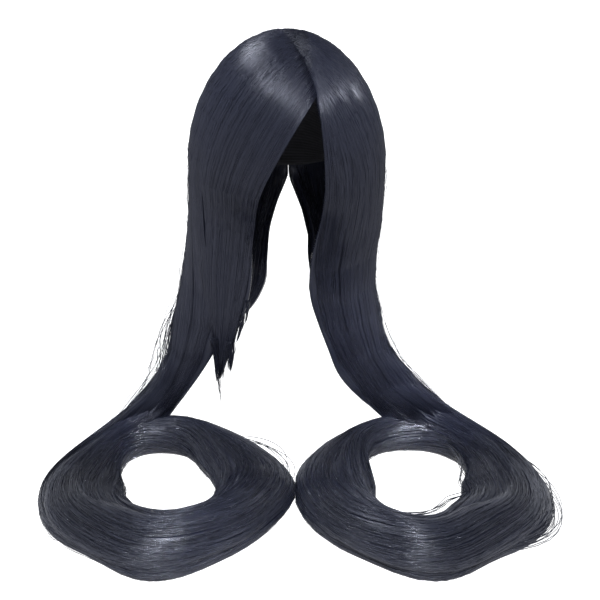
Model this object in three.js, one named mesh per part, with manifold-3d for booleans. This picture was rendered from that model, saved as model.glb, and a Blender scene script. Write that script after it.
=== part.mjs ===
// A synthetic wig of very long straight hair: a thin cap, a side-swept fringe, a left and a right
// mass of hair that fall on both sides, and the two ends wound into flat round coils.
// Millimetres, +Z up, the front towards -Y. The origin is the top of the cap's inside.
import * as THREE from "three";
import { mergeVertices } from "three/addons/utils/BufferGeometryUtils.js";
import Module from "manifold-3d";

const wasm = await Module();
wasm.setup();

// Driving dimensions

const GAP = 0.4; // clearance between neighbouring pieces
const MERGE_WITHIN = 0.001; // points this near each other are one
const FLOOR_Z = -437; // the level that the coils lie on
const FIT = { halfBreadth: 78, halfLength: 99, crownHeight: 108 }; // the ellipsoid inside the cap
const CAP = { wall: 1.5, rimMean: -98, rimSlope: -54, rimDip: -2, turns: 32, rings: 8 };
const CAP_SEAT_DEPTH = 8; // how deep the seat for the cap is cut into the hair
const DOME = { halfWidth: 106, frontDepth: 112, backDepth: 116, centreY: 2, height: 143, top: 13 };
const DOME_Z = DOME.top - DOME.height; // the widest level of the hair
const PARTING = { frontX: 30, frontY: -80, backY: 45, curl: 1.5 }; // the line the hair grows from
const FRINGE_SHARE = 0.4; // share of the parting that the fringe takes
const FRINGE_MARGIN = 0.004; // share of it between the fringe and the hair behind
const HUG = { from: -130, to: -190 }; // hair lies on the cap above, hangs free below
const HAIRLINE = { from: -45, to: -62 }; // below this the front edges thin out
const NAPE = { from: -150, to: -175 }; // below this the back edges thin out
const LANDING = { from: -360, to: -412 }; // between these the sections lean to follow the coil
const FEATHER = { share: 0.14, least: 0.3 }; // width of a thinned edge, and what is left of it
const DOME_STEPS = 8;
const FALL_STEP = 24; // height between sections of a fall
const COLUMNS_PER_LOCK = 3;
const GROOVE_LIMIT = 3; // a wall thinner than this many grooves gets shallower ones
const SPREAD = 0.03; // share of the width that each edge moves out for a millimetre of growth

const COIL = {
  centreY: -171,
  halfHeight: 22,
  sink: 6, // how far the round section is flattened underneath
  ridges: 5,
  relief: 0.1,
  twist: 2,
  steps: 36,
  columns: 15,
};
const WAIST_X = 9.5; // the plane where the two coils press on each other
const STRAND_SPAN_DEG = 285;
const STRAND_STEPS = 24;
const STRAND_SIDES = 10;
const TIP_STEPS = 6;
const TIP_SIDES = 6;
const TIP_BLUNT = 0.05; // share of the root's width that is left at the tip

const HAIR_BLACK = { color: 0x23252f, roughness: 0.38, metalness: 0 };
const CAP_BLACK = { color: 0x17181c, roughness: 0.85, metalness: 0 };

// Tables: each row is a level section of the hair, an arc from its front edge to its back edge

const SECTION = [
  "z", "centreX", "centreY", "halfWidth", "frontDepth", "backDepth", "frontDeg", "backDeg", "thick",
];
const RIGHT_SECTIONS = readTable(SECTION, [
  [-130, 0, 2, 106, 112, 116, -68, 90, 27],
  [-165, 0, 2, 106, 98, 113, -70, 90, 24],
  [-195, 2, 1, 101, 84, 104, -74, 84, 24],
  [-225, 10, 0, 89, 75, 87, -80, 81, 26],
  [-255, 20, -3, 78, 68, 70, -86, 87, 28],
  [-285, 31, -6, 73, 61, 54, -88, 90, 30],
  [-315, 42, -12, 65, 55, 43, -88, 78, 32],
  [-345, 53, -18, 68, 47, 36, -88, 72, 32],
  [-370, 67, -27, 78, 34, 29, -86, 76, 28],
  [-392, 88, -40, 93, 22, 20, -84, 80, 19],
  [-412, 108, -58, 111, 12, 10, -82, 82, 10],
]);
const LEFT_SECTIONS = readTable(SECTION, [
  [-130, 0, 2, 106, 112, 116, -35, 90, 27],
  [-165, 0, 2, 108, 98, 113, -35, 90, 24],
  [-195, 2, 1, 108, 84, 104, -36, 84, 24],
  [-225, 14, 0, 100, 75, 88, -46, 85, 26],
  [-255, 32, -3, 88, 66, 71, -62, 95, 28],
  [-285, 51, -6, 76, 58, 55, -76, 108, 30],
  [-315, 71, -12, 61, 52, 44, -84, 109, 32],
  [-345, 91, -18, 46, 45, 37, -86, 80, 32],
  [-370, 108, -27, 43, 35, 29, -86, 76, 28],
  [-392, 122, -41, 58, 22, 20, -84, 80, 19],
  [-412, 135, -58, 78, 12, 10, -82, 82, 10],
]);
const FRINGE_SECTIONS = readTable(SECTION, [
  [-130, 0, 2, 106, 112, 116, -76, -36, 14],
  [-165, 0, 0, 107, 92, 113, -70.5, -36, 13],
  [-195, 4, -2, 104, 84, 100, -72, -35, 12],
  [-225, 10, -5, 98, 79, 90, -74, -33, 12],
  [-255, 20, -8, 84, 76, 80, -75, -32, 11],
  [-285, 30, -10, 72, 73, 70, -72, -34, 10],
  [-312, 38, -14, 58, 69, 60, -68, -38, 9],
  [-335, 46, -20, 44, 62, 50, -58, -44, 7],
  [-350, 50, -24, 38, 58, 45, -50, -47, 4],
]);

// Each mass of hair: the side it falls on, its sections, its stretch of the parting, its locks and how far
// its lower end leans forwards for each millimetre outwards
const LEFT_HAIR = {
  side: -1,
  sections: LEFT_SECTIONS,
  partingFrom: FRINGE_SHARE + FRINGE_MARGIN,
  partingTo: 1,
  locks: 7,
  relief: 3.5,
  lean: 0.5,
  backEdge: true,
};
const RIGHT_HAIR = {
  side: 1,
  sections: RIGHT_SECTIONS,
  partingFrom: 0,
  partingTo: 1,
  locks: 9,
  relief: 3.5,
  lean: 0.27,
  backEdge: true,
};
const FRINGE = {
  side: -1,
  sections: FRINGE_SECTIONS,
  partingFrom: 0,
  partingTo: FRINGE_SHARE,
  locks: 5,
  relief: 2.5,
  lean: 0,
  backEdge: false,
};

// Plan of each coil round its centre: the outer radius and the radius of its eye
const PLAN = ["angle", "outer", "eye"];
const LEFT_PLAN = closedTable(PLAN, [
  [0, 128, 47],
  [30, 112, 45],
  [60, 110, 51],
  [90, 123, 77],
  [120, 121, 89],
  [150, 118, 65],
  [180, 130, 46],
  [210, 127, 47],
  [240, 119, 49],
  [270, 134, 49],
  [300, 121, 51],
  [330, 121, 52],
]);
const RIGHT_PLAN = closedTable(PLAN, [
  [0, 128, 42],
  [30, 124, 60],
  [60, 124, 82],
  [90, 124, 90],
  [120, 116, 86],
  [150, 122, 56],
  [180, 129, 46],
  [210, 126, 54],
  [240, 122, 60],
  [270, 133, 59],
  [300, 119, 47],
  [330, 131, 44],
]);
const LEFT_COIL = { side: -1, centreX: -119, plan: LEFT_PLAN, startDeg: 100 };
const RIGHT_COIL = { side: 1, centreX: 137, plan: RIGHT_PLAN, startDeg: 80 };

// The free strand of a coil: it comes out of the fall, runs round on top and sinks in
const STRAND = ["share", "outwards", "lift", "halfWidth", "halfHeight"];
const COIL_STRAND = readTable(STRAND, [
  [0, 2, 0, 14, 9],
  [0.12, 4, 3, 17, 11],
  [0.3, 12, 7, 22, 15],
  [0.55, 11, 10, 30, 18],
  [0.8, 7, 8, 25, 15],
  [1, -4, 1, 12, 7],
]);

// Pointed ends that stand out of the fringe: x, z of the root and of the tip, and their sizes
const TIP = ["rootX", "rootZ", "tipX", "tipZ", "y", "halfWidth", "halfThick"];
const FRINGE_TIPS = readTable(TIP, [
  [-61, -300, -62, -338, -78, 5, 3],
  [-84, -318, -79, -366, -67, 6, 3.5],
  [-34, -140, -41, -196, -88, 5, 3],
]);

// Small helpers

function readTable(columns, rows) {
  return rows.map((row) => Object.fromEntries(columns.map((name, i) => [name, row[i]])));
}

// A table by angle in degrees that carries on past a whole turn
function closedTable(columns, rows) {
  const table = readTable(columns, rows);
  const turned = (row, by) => ({ ...row, angle: row.angle + by });
  return [turned(table.at(-1), -360), ...table, turned(table[0], 360), turned(table[1], 360)];
}

const lerp = THREE.MathUtils.lerp;
const radians = THREE.MathUtils.degToRad;
const fade = (from, to, value) => THREE.MathUtils.smoothstep((value - from) / (to - from), 0, 1);

// A row between the rows of a table, on a smooth curve through each column
function rowAt(table, key, value) {
  const last = table.length - 1;
  const down = table[last][key] < table[0][key] ? -1 : 1;
  let i = 0;
  while (i < last - 1 && down * (value - table[i + 1][key]) > 0) i++;
  const [before, a, b, after] = [i - 1, i, i + 1, i + 2].map((k) => table[Math.min(Math.max(k, 0), last)]);
  const span = b[key] - a[key];
  const t = (value - a[key]) / span;
  const row = {};
  for (const name of Object.keys(a)) {
    const leave = ((b[name] - before[name]) * span) / (b[key] - before[key]);
    const arrive = ((after[name] - a[name]) * span) / (after[key] - a[key]);
    const bend = (2 * t ** 3 - 3 * t ** 2 + 1) * a[name] + (3 * t ** 2 - 2 * t ** 3) * b[name];
    row[name] = bend + (t ** 3 - 2 * t ** 2 + t) * leave + (t ** 3 - t ** 2) * arrive;
  }
  return row;
}

// The mesh of a solid from points and triangles, with its faces turned outwards
function solidOf(points, triangles) {
  const geometry = new THREE.BufferGeometry();
  geometry.setAttribute("position", new THREE.Float32BufferAttribute(points.flatMap((p) => p.toArray()), 3));
  geometry.setIndex(triangles.flat());
  const merged = mergeVertices(geometry, MERGE_WITHIN);
  const vertProperties = merged.attributes.position.array;
  const build = (triVerts) => new wasm.Manifold(new wasm.Mesh({ numProp: 3, vertProperties, triVerts }));
  const order = new Uint32Array(merged.index.array);
  const made = build(order);
  if (made.volume() > 0) return made;
  for (let i = 0; i < order.length; i += 3) [order[i + 1], order[i + 2]] = [order[i + 2], order[i + 1]];
  return build(order);
}

// Two triangles for each cell of a grid of point numbers, rows by columns
function gridTriangles(number, rows, columns) {
  const triangles = [];
  for (let r = 0; r < rows; r++)
    for (let c = 0; c < columns; c++) {
      const [a, b, d, e] = [number(r, c), number(r, c + 1), number(r + 1, c), number(r + 1, c + 1)];
      triangles.push([a, b, e], [a, e, d]);
    }
  return triangles;
}

// A wall between two grids of points of one size, closed along its four edges
function wallBetween(outer, inner) {
  const rows = outer.length - 1;
  const columns = outer[0].length - 1;
  const count = (rows + 1) * (columns + 1);
  const out = (r, c) => r * (columns + 1) + c;
  const into = (r, c) => count + out(r, c);
  const edge = (at) => (r, c) => (r ? into(...at(c)) : out(...at(c)));
  return solidOf(
    [...outer.flat(), ...inner.flat()],
    [
      ...gridTriangles(out, rows, columns),
      ...gridTriangles((r, c) => into(r, columns - c), rows, columns),
      ...gridTriangles(edge((c) => [0, columns - c]), 1, columns),
      ...gridTriangles(edge((c) => [rows, c]), 1, columns),
      ...gridTriangles(edge((r) => [r, 0]), 1, rows),
      ...gridTriangles(edge((r) => [rows - r, columns]), 1, rows),
    ],
  );
}

// A solid through a row of closed rings of points, with flat ends
function loftRings(rings) {
  const sides = rings[0].length;
  const number = (r, c) => r * sides + (c % sides);
  const points = rings.flat();
  const triangles = gridTriangles(number, rings.length - 1, sides);
  for (const [end, turn] of [[0, 1], [rings.length - 1, 0]])
    for (let c = 1; c < sides - 1; c++)
      triangles.push([number(end, 0), number(end, c + turn), number(end, c + 1 - turn)]);
  return solidOf(points, triangles);
}

// A solid ring through rings of points whose last one meets the first
function loftLoop(rings) {
  const sides = rings[0].length;
  const number = (r, c) => (r % rings.length) * sides + (c % sides);
  return solidOf(rings.flat(), gridTriangles(number, rings.length, sides));
}

const biggestBody = (solid) => solid.decompose().reduce((a, b) => (a.volume() > b.volume() ? a : b));

// A named mesh of a solid
function piece(name, solid, finish) {
  const mesh = solid.getMesh();
  const geometry = new THREE.BufferGeometry();
  geometry.setAttribute("position", new THREE.BufferAttribute(mesh.vertProperties, 3));
  geometry.setIndex(new THREE.BufferAttribute(mesh.triVerts, 1));
  geometry.computeVertexNormals();
  const made = new THREE.Mesh(geometry, new THREE.MeshStandardMaterial(finish));
  made.name = name;
  return made;
}

// Cap: a thin dome whose rim runs from the hairline in front down to the nape behind

// A point of the ellipsoid inside the cap, grown by some clearance, in the direction of another point
function onFit(point, clearance) {
  const centre = new THREE.Vector3(0, 0, -FIT.crownHeight);
  const way = point.clone().sub(centre);
  const reach = Math.hypot(
    way.x / (FIT.halfBreadth + clearance),
    way.y / (FIT.halfLength + clearance),
    way.z / (FIT.crownHeight + clearance),
  );
  return centre.addScaledVector(way, 1 / reach);
}

function capPoint(turn, share, clearance, drop) {
  const angle = 2 * Math.PI * turn;
  const rimZ = CAP.rimMean + CAP.rimSlope * Math.sin(angle) + CAP.rimDip * Math.cos(2 * angle) - drop;
  const dip = Math.acos((rimZ + FIT.crownHeight) / FIT.crownHeight) * share;
  const level = Math.sin(dip);
  const way = new THREE.Vector3(
    FIT.halfBreadth * level * Math.cos(angle),
    FIT.halfLength * level * Math.sin(angle),
    FIT.crownHeight * (Math.cos(dip) - 1),
  );
  return onFit(way, clearance);
}

// The dome between two clearances from that ellipsoid, with its rim lowered by some drop
function buildCap(insideBy, outsideBy, drop) {
  const skin = (clearance) => {
    const points = [new THREE.Vector3(0, 0, clearance)];
    for (let r = 1; r <= CAP.rings; r++)
      for (let c = 0; c < CAP.turns; c++)
        points.push(capPoint(c / CAP.turns, r / CAP.rings, clearance, drop));
    return points;
  };
  const inner = skin(insideBy);
  const outer = skin(outsideBy);
  const ring = (start) => (r, c) => start + 1 + r * CAP.turns + (c % CAP.turns);
  const inside = ring(0);
  const outside = ring(inner.length);
  const rim = (r, c) => (r ? outside(CAP.rings - 1, c) : inside(CAP.rings - 1, c));
  const triangles = [
    ...gridTriangles(outside, CAP.rings - 1, CAP.turns).map(([a, b, c]) => [a, c, b]),
    ...gridTriangles(inside, CAP.rings - 1, CAP.turns),
    ...gridTriangles(rim, 1, CAP.turns),
  ];
  for (let c = 0; c < CAP.turns; c++) {
    triangles.push([inner.length, outside(0, c), outside(0, c + 1)]);
    triangles.push([0, inside(0, c + 1), inside(0, c)]);
  }
  return solidOf([...inner, ...outer], triangles);
}

// Hair over the cap: it leaves the parting, follows the dome to its widest level, then falls

const domeCentre = () => new THREE.Vector3(0, DOME.centreY, DOME_Z);

function onDome(way) {
  const depth = way.y < 0 ? DOME.frontDepth : DOME.backDepth;
  const reach = Math.hypot(way.x / DOME.halfWidth, way.y / depth, way.z / DOME.height);
  return domeCentre().addScaledVector(way, 1 / reach);
}

// The direction from the dome's centre to the parting, from the hairline at 0 to behind the whorl at 1
function partingWay(share, side) {
  const x = PARTING.frontX * (1 - share) ** PARTING.curl + side * GAP;
  const y = lerp(PARTING.frontY, PARTING.backY, share) - DOME.centreY;
  const depth = y < 0 ? DOME.frontDepth : DOME.backDepth;
  const z = DOME.height * Math.sqrt(1 - (x / DOME.halfWidth) ** 2 - (y / depth) ** 2);
  return new THREE.Vector3(x, y, z).normalize();
}

// The shortest way round from one direction to another
function turnBetween(from, to, share) {
  const angle = from.angleTo(to);
  return from
    .clone()
    .multiplyScalar(Math.sin((1 - share) * angle) / Math.sin(angle))
    .addScaledVector(to, Math.sin(share * angle) / Math.sin(angle));
}

function sectionPoint(hair, row, across) {
  const angle = radians(lerp(row.frontDeg, row.backDeg, across));
  const depth = angle < 0 ? row.frontDepth : row.backDepth;
  const x = Math.max(row.centreX + row.halfWidth * Math.cos(angle), GAP);
  const lean = hair.lean * fade(LANDING.from, LANDING.to, row.z);
  const y = row.centreY + depth * Math.sin(angle) - lean * (x - row.centreX);
  return new THREE.Vector3(hair.side * x, y, row.z);
}

// The outer and inner point of a mass of hair, across it and down it, with grooves between its locks
function hairPair(hair, across, column, row, onTop) {
  const outer = onTop
    ? onDome(turnBetween(
        partingWay(lerp(hair.partingFrom, hair.partingTo, across), hair.side),
        sectionPoint(hair, row, across).sub(domeCentre()).normalize(),
        onTop.share,
      ))
    : sectionPoint(hair, row, across);
  const middle = new THREE.Vector3(hair.side * row.centreX, row.centreY, outer.z);
  const hung = outer.clone().addScaledVector(middle.sub(outer).normalize(), row.thick);
  const inner = hung.lerp(onFit(outer, 0), fade(HUG.to, HUG.from, outer.z));
  const frontThin = fade(HAIRLINE.from, HAIRLINE.to, outer.z) * (1 - fade(0, FEATHER.share, across));
  const backThin = fade(NAPE.from, NAPE.to, outer.z) * fade(1 - FEATHER.share, 1, across);
  const thin = Math.max(frontThin, hair.backEdge ? backThin : frontThin) * (1 - FEATHER.least);
  inner.lerp(outer, thin);
  const groove = column % COLUMNS_PER_LOCK ? 0 : hair.relief * (onTop ? onTop.share : 1);
  const wall = Math.max(outer.distanceTo(inner), GROOVE_LIMIT * hair.relief);
  return { outer: outer.lerp(inner, groove / wall), inner };
}

function buildHair(hair, grow) {
  const columns = hair.locks * COLUMNS_PER_LOCK;
  const top = hair.sections[0].z;
  const bottom = hair.sections[hair.sections.length - 1].z;
  const falls = Math.round((top - bottom) / FALL_STEP);
  const outer = [];
  const inner = [];
  const addLevel = (row, onTop) => {
    const pairs = Array.from({ length: columns + 1 }, (_, c) => {
      const across = lerp(-grow * SPREAD, 1 + grow * SPREAD, c / columns);
      return hairPair(hair, across, c, row, onTop);
    });
    for (const pair of pairs) {
      const way = pair.outer.clone().sub(pair.inner).normalize();
      pair.outer.addScaledVector(way, grow);
      pair.inner.addScaledVector(way, -grow);
    }
    outer.push(pairs.map((pair) => pair.outer));
    inner.push(pairs.map((pair) => pair.inner));
  };
  for (let i = 0; i < DOME_STEPS; i++) addLevel(hair.sections[0], { share: i / DOME_STEPS });
  for (let i = 0; i <= falls; i++) addLevel(rowAt(hair.sections, "z", lerp(top, bottom, i / falls)), null);
  return wallBetween(outer, inner);
}

// A pointed end: flat rings that narrow from the root to the tip
function buildTip(tip, grow) {
  const rings = [];
  for (let i = 0; i <= TIP_STEPS; i++) {
    const share = i / TIP_STEPS;
    const size = lerp(TIP_BLUNT, 1, Math.sqrt(1 - share ** 2));
    const [centreX, centreZ] = [lerp(tip.rootX, tip.tipX, share), lerp(tip.rootZ, tip.tipZ, share)];
    const centre = new THREE.Vector3(centreX, tip.y, centreZ);
    rings.push(
      Array.from({ length: TIP_SIDES }, (_, c) => {
        const angle = (2 * Math.PI * c) / TIP_SIDES;
        const x = (tip.halfWidth * size + grow) * Math.cos(angle);
        const y = (tip.halfThick * size + grow) * Math.sin(angle);
        return centre.clone().add(new THREE.Vector3(x, y, 0));
      }),
    );
  }
  return loftRings(rings);
}

function buildFringe(grow) {
  return FRINGE_TIPS.reduce((whole, tip) => whole.add(buildTip(tip, grow)), buildHair(FRINGE, grow));
}

// Coils: a flat round pile, with the free strand laid over it

// A point of a coil's section: an oval, ridged by its locks, flattened underneath and by the other coil
function coilPoint(coil, angle, turn, oval, grow) {
  const ridge = 1 - oval.relief * (1 - Math.abs(Math.cos((COIL.ridges * turn) / 2 + COIL.twist * angle)));
  const reach = oval.radius + (oval.halfWidth * ridge + grow) * Math.cos(turn);
  const z = oval.z + (oval.halfHeight * ridge + grow) * Math.sin(turn);
  const x = coil.centreX + reach * Math.cos(angle);
  const waist = WAIST_X + coil.side * GAP;
  const pressed = coil.side < 0 ? Math.min(x, waist) : Math.max(x, waist);
  return new THREE.Vector3(pressed, COIL.centreY + reach * Math.sin(angle), Math.max(z, FLOOR_Z));
}

function buildCoil(coil, grow) {
  const baseZ = FLOOR_Z + COIL.halfHeight - COIL.sink;
  const planAt = (degrees) => {
    const { outer, eye } = rowAt(coil.plan, "angle", THREE.MathUtils.euclideanModulo(degrees, 360));
    return { radius: (outer + eye) / 2, halfWidth: (outer - eye) / 2 };
  };
  const ovalRing = (degrees, oval, sides) =>
    Array.from({ length: sides }, (_, c) =>
      coilPoint(coil, radians(degrees), (2 * Math.PI * c) / sides, oval, grow),
    );
  const pileRings = Array.from({ length: COIL.steps }, (_, i) => {
    const degrees = (360 * i) / COIL.steps;
    const oval = { ...planAt(degrees), z: baseZ, halfHeight: COIL.halfHeight, relief: COIL.relief };
    return ovalRing(degrees, oval, COIL.columns);
  });
  const strandRings = Array.from({ length: STRAND_STEPS + 1 }, (_, i) => {
    const row = rowAt(COIL_STRAND, "share", i / STRAND_STEPS);
    const degrees = coil.startDeg - (coil.side * STRAND_SPAN_DEG * i) / STRAND_STEPS;
    const radius = planAt(degrees).radius + row.outwards;
    return ovalRing(degrees, { ...row, radius, z: baseZ + row.lift, relief: 0 }, STRAND_SIDES);
  });
  return loftLoop(pileRings).add(loftRings(strandRings));
}

// The wig

const capSeat = buildCap(-CAP_SEAT_DEPTH, CAP.wall + GAP, GAP);
const fringe = buildFringe(0).subtract(capSeat);
const leftHair = buildHair(LEFT_HAIR, 0)
  .subtract(capSeat)
  .subtract(buildCoil(LEFT_COIL, GAP))
  .subtract(buildFringe(GAP).add(buildFringe(GAP / 2)).add(fringe));
const rightHair = buildHair(RIGHT_HAIR, 0).subtract(capSeat).subtract(buildCoil(RIGHT_COIL, GAP));

const wig = new THREE.Group();
wig.add(piece("cap", buildCap(0, CAP.wall, 0), CAP_BLACK));
wig.add(piece("fringe", biggestBody(fringe), HAIR_BLACK));
wig.add(piece("left_hair", biggestBody(leftHair), HAIR_BLACK));
wig.add(piece("right_hair", biggestBody(rightHair), HAIR_BLACK));
wig.add(piece("left_coil", buildCoil(LEFT_COIL, 0), HAIR_BLACK));
wig.add(piece("right_coil", buildCoil(RIGHT_COIL, 0), HAIR_BLACK));

export default wig;
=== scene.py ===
"""Looks of a synthetic wig: black fibres over the cap, the fringe, the two falls and their coils."""

import logging
import math
from dataclasses import dataclass
from enum import Enum

import bpy
import numpy as np
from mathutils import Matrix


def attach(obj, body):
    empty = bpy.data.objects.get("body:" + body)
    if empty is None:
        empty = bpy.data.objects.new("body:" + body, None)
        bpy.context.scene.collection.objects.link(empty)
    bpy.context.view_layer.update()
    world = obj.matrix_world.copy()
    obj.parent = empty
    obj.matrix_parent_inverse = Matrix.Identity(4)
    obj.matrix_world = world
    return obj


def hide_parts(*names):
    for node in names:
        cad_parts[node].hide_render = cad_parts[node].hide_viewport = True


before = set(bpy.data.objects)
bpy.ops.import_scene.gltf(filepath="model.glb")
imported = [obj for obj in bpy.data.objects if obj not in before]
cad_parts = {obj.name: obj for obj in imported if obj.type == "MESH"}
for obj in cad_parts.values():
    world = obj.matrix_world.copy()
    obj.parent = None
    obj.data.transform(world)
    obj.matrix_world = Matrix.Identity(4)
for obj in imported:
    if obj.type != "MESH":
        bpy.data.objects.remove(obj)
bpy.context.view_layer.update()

log = logging.getLogger("wig")
Array = np.ndarray
MM = 0.001
BODY = "root"
UV_NAME = "strand_uv"


class Side(Enum):
    """The viewer's side that a mass of hair falls on."""

    LEFT = -1
    RIGHT = 1


# Sizes that several pieces share, in millimetres

FLOOR_Z = -437.0
GAP = 0.4

# Half axes of the ellipsoid inside the cap, and the cap's wall
FIT = np.array([78.0, 99.0, 108.0])
CAP_WALL = 1.5

# Half axes of the outside of the hair over the cap, its depth at the back, and its centre
DOME_HALF = np.array([106.0, 112.0, 143.0])
DOME_BACK = 116.0
DOME_CENTRE = np.array([0.0, 2.0, -130.0])

# The parting: its front end, how far back it runs, how it bends, and the share that the fringe grows from
PARTING_FRONT = np.array([30.0, -80.0])
PARTING_BACK_Y = 45.0
PARTING_CURL = 1.5
FRINGE_SHARE = 0.4

# Heights between which a fall comes to lean towards its coil
LANDING = (-360.0, -412.0)

# The coils: their middle, half height and middle height, where they meet, and how close they are pressed
COIL_CENTRE_Y = -171.0
COIL_HALF_HEIGHT = 22.0
COIL_SINK = 6.0
COIL_BASE_Z = FLOOR_Z + COIL_HALF_HEIGHT - COIL_SINK
WAIST_X = 9.5
PRESS = 0.05

# How deep the forms of the coils and of the falls lie under the strands, and a lift that shows the facing
INSET = 1.3
FORM_INSET = 1.3 * INSET
PROBE = 5.0

# Directions upwards and towards the camera
UP = np.array([0.0, 0.0, 1.0])
FORWARDS = np.array([0.0, -1.0, 0.0])

# Heights between which the hair comes to lie on the cap, and its front and its back edge run thin
HUG = (-190.0, -130.0)
HAIRLINE = (-45.0, -62.0)
LOW_BACK = (-150.0, -175.0)

# Places across between which those edges thin, and the share of the thickness that they lose
FRONT_EDGE = (0.0, 0.14)
BACK_EDGE = (0.86, 1.0)
EDGE_LOSS = 0.7

# Places along where a landing is looked for, with the number of steps, and a short step ahead
SEARCH = (1.5, 2.0, 101)
AHEAD = 0.01

# Smallest and largest radius of combed strands, pointed ends and wisps, then radii of loose hairs
STRAND_RADIUS = (0.26, 0.42)
TIP_RADIUS = (0.2, 0.35)
WISP_RADIUS = (0.18, 0.3)
FINE_RADIUS = 0.22
LOW_RADIUS = 0.34
LOOP_RADIUS = 0.42

# Share of its length over which a strand thins, and share of its radius that is left, at root and tip
ROOT_TAPER = (0.06, 0.15)
TIP_TAPER = (0.22, 0.08)
SIDES_DEG = (90.0, 210.0, 330.0)

# Strand coordinates across the hair, which set a strand's tone, and the range of a wave's phase
SHADES = (0.0, 4.0)
PHASES = 6.28

# Grooves that wind round a coil: size, number round the section and drift along it
PILE_WAVES = ((0.5, 7, 2), (0.35, 13, -1))
FREE_WAVES = ((0.5, 6, 9), (0.3, 11, -5))

# Grooves between locks: number for each lock and depth, their drift, and where along they set in
LOCK_WAVES = ((0.6, 0.4), (1.7, 0.35), (4.1, 0.25))
LOCK_DRIFT = 0.02
GROOVED = (0.4, 1.5)

# Uneven width of the locks: size, number of waves across and share of the seed in their phase
UNEVEN_WAVES = ((0.05, 10.0, 1), (0.02, 27.0, 2))


# Small helpers on arrays


def unit(vectors: Array) -> Array:
    """Returns the vectors at length one."""
    return vectors / np.maximum(np.linalg.norm(vectors, axis=-1, keepdims=True), 1e-9)


def fade(start: float, end: float, value: Array) -> Array:
    """Returns 0 before start and 1 past end, with a smooth step between them."""
    t = np.clip((value - start) / (end - start), 0.0, 1.0)
    return t * t * (3.0 - 2.0 * t)


def mix(a: Array, b: Array, share: Array) -> Array:
    """Returns the point that lies this share of the way from a to b."""
    return a + (b - a) * share


def column(values: Array) -> Array:
    """Returns the values with a last axis added, to multiply points by."""
    return np.asarray(values)[..., None]


def cubic(start: Array, leave: Array, end: Array, arrive: Array, t: Array) -> Array:
    """Reads cubics between two values, with given slopes at both ends.

    Args:
        start: First values.
        leave: Slopes there.
        end: Last values.
        arrive: Slopes there.
        t: Share of the way from the first to the last.

    Returns:
        The values at that share.
    """
    between = (2 * t**3 - 3 * t**2 + 1) * start + (3 * t**2 - 2 * t**3) * end
    return between + (t**3 - 2 * t**2 + t) * leave + (t**3 - t**2) * arrive


@dataclass(frozen=True)
class Table:
    """Rows of named columns, the first of them the key, joined by smooth curves.

    Attributes:
        names: Names of the columns.
        rows: One row for each section, in the order of the key.
        turn: Length of the key's period where the table closes on itself, or 0.
    """

    names: tuple[str, ...]
    rows: tuple[tuple[float, ...], ...]
    turn: float = 0.0

    def at(self, value: Array) -> dict[str, Array]:
        """Reads every column at some keys, on a cubic through the rows with slopes from their neighbours.

        Args:
            value: Keys, of any shape.

        Returns:
            Each column's values, in the keys' shape.
        """
        data = np.array(self.rows, dtype=float)
        value = np.asarray(value, dtype=float)
        if self.turn:
            shift = np.zeros(data.shape[1])
            shift[0] = self.turn
            data = np.vstack([data[-2:] - shift, data, data[:2] + shift])
            value = np.mod(value, self.turn)
        keys = data[:, 0]
        way = 1.0 if keys[-1] > keys[0] else -1.0
        last = len(keys) - 1
        a = np.clip(np.searchsorted(way * keys, way * value, side="right") - 1, 0, last - 1)
        b = a + 1
        before, after = np.maximum(a - 1, 0), np.minimum(b + 1, last)
        span = keys[b] - keys[a]
        t = np.clip((value - keys[a]) / span, 0.0, 1.0)
        found = {}
        for i, name in enumerate(self.names):
            c = data[:, i]
            leave = (c[b] - c[before]) * span / (keys[b] - keys[before])
            arrive = (c[after] - c[a]) * span / (keys[after] - keys[a])
            found[name] = cubic(c[a], leave, c[b], arrive, t)
        found[self.names[0]] = value
        return found


# Tables of sections, each an arc from the front edge of the hair to its back edge

SECTION = (
    "z", "centre_x", "centre_y", "half_width", "front_depth", "back_depth", "front_deg", "back_deg", "thick",
)
RIGHT_SECTIONS = Table(SECTION, (
    (-130, 0, 2, 106, 112, 116, -68, 90, 27),
    (-165, 0, 2, 106, 98, 113, -70, 90, 24),
    (-195, 2, 1, 101, 84, 104, -74, 84, 24),
    (-225, 10, 0, 89, 75, 87, -80, 81, 26),
    (-255, 20, -3, 78, 68, 70, -86, 87, 28),
    (-285, 31, -6, 73, 61, 54, -88, 90, 30),
    (-315, 42, -12, 65, 55, 43, -88, 78, 32),
    (-345, 53, -18, 68, 47, 36, -88, 72, 32),
    (-370, 67, -27, 78, 34, 29, -86, 76, 28),
    (-392, 88, -40, 93, 22, 20, -84, 80, 19),
    (-412, 108, -58, 111, 12, 10, -82, 82, 10),
))
LEFT_SECTIONS = Table(SECTION, (
    (-130, 0, 2, 106, 112, 116, -35, 90, 27),
    (-165, 0, 2, 108, 98, 113, -35, 90, 24),
    (-195, 2, 1, 108, 84, 104, -36, 84, 24),
    (-225, 14, 0, 100, 75, 88, -46, 85, 26),
    (-255, 32, -3, 88, 66, 71, -62, 95, 28),
    (-285, 51, -6, 76, 58, 55, -76, 108, 30),
    (-315, 71, -12, 61, 52, 44, -84, 109, 32),
    (-345, 91, -18, 46, 45, 37, -86, 80, 32),
    (-370, 108, -27, 43, 35, 29, -86, 76, 28),
    (-392, 122, -41, 58, 22, 20, -84, 80, 19),
    (-412, 135, -58, 78, 12, 10, -82, 82, 10),
))
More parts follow.
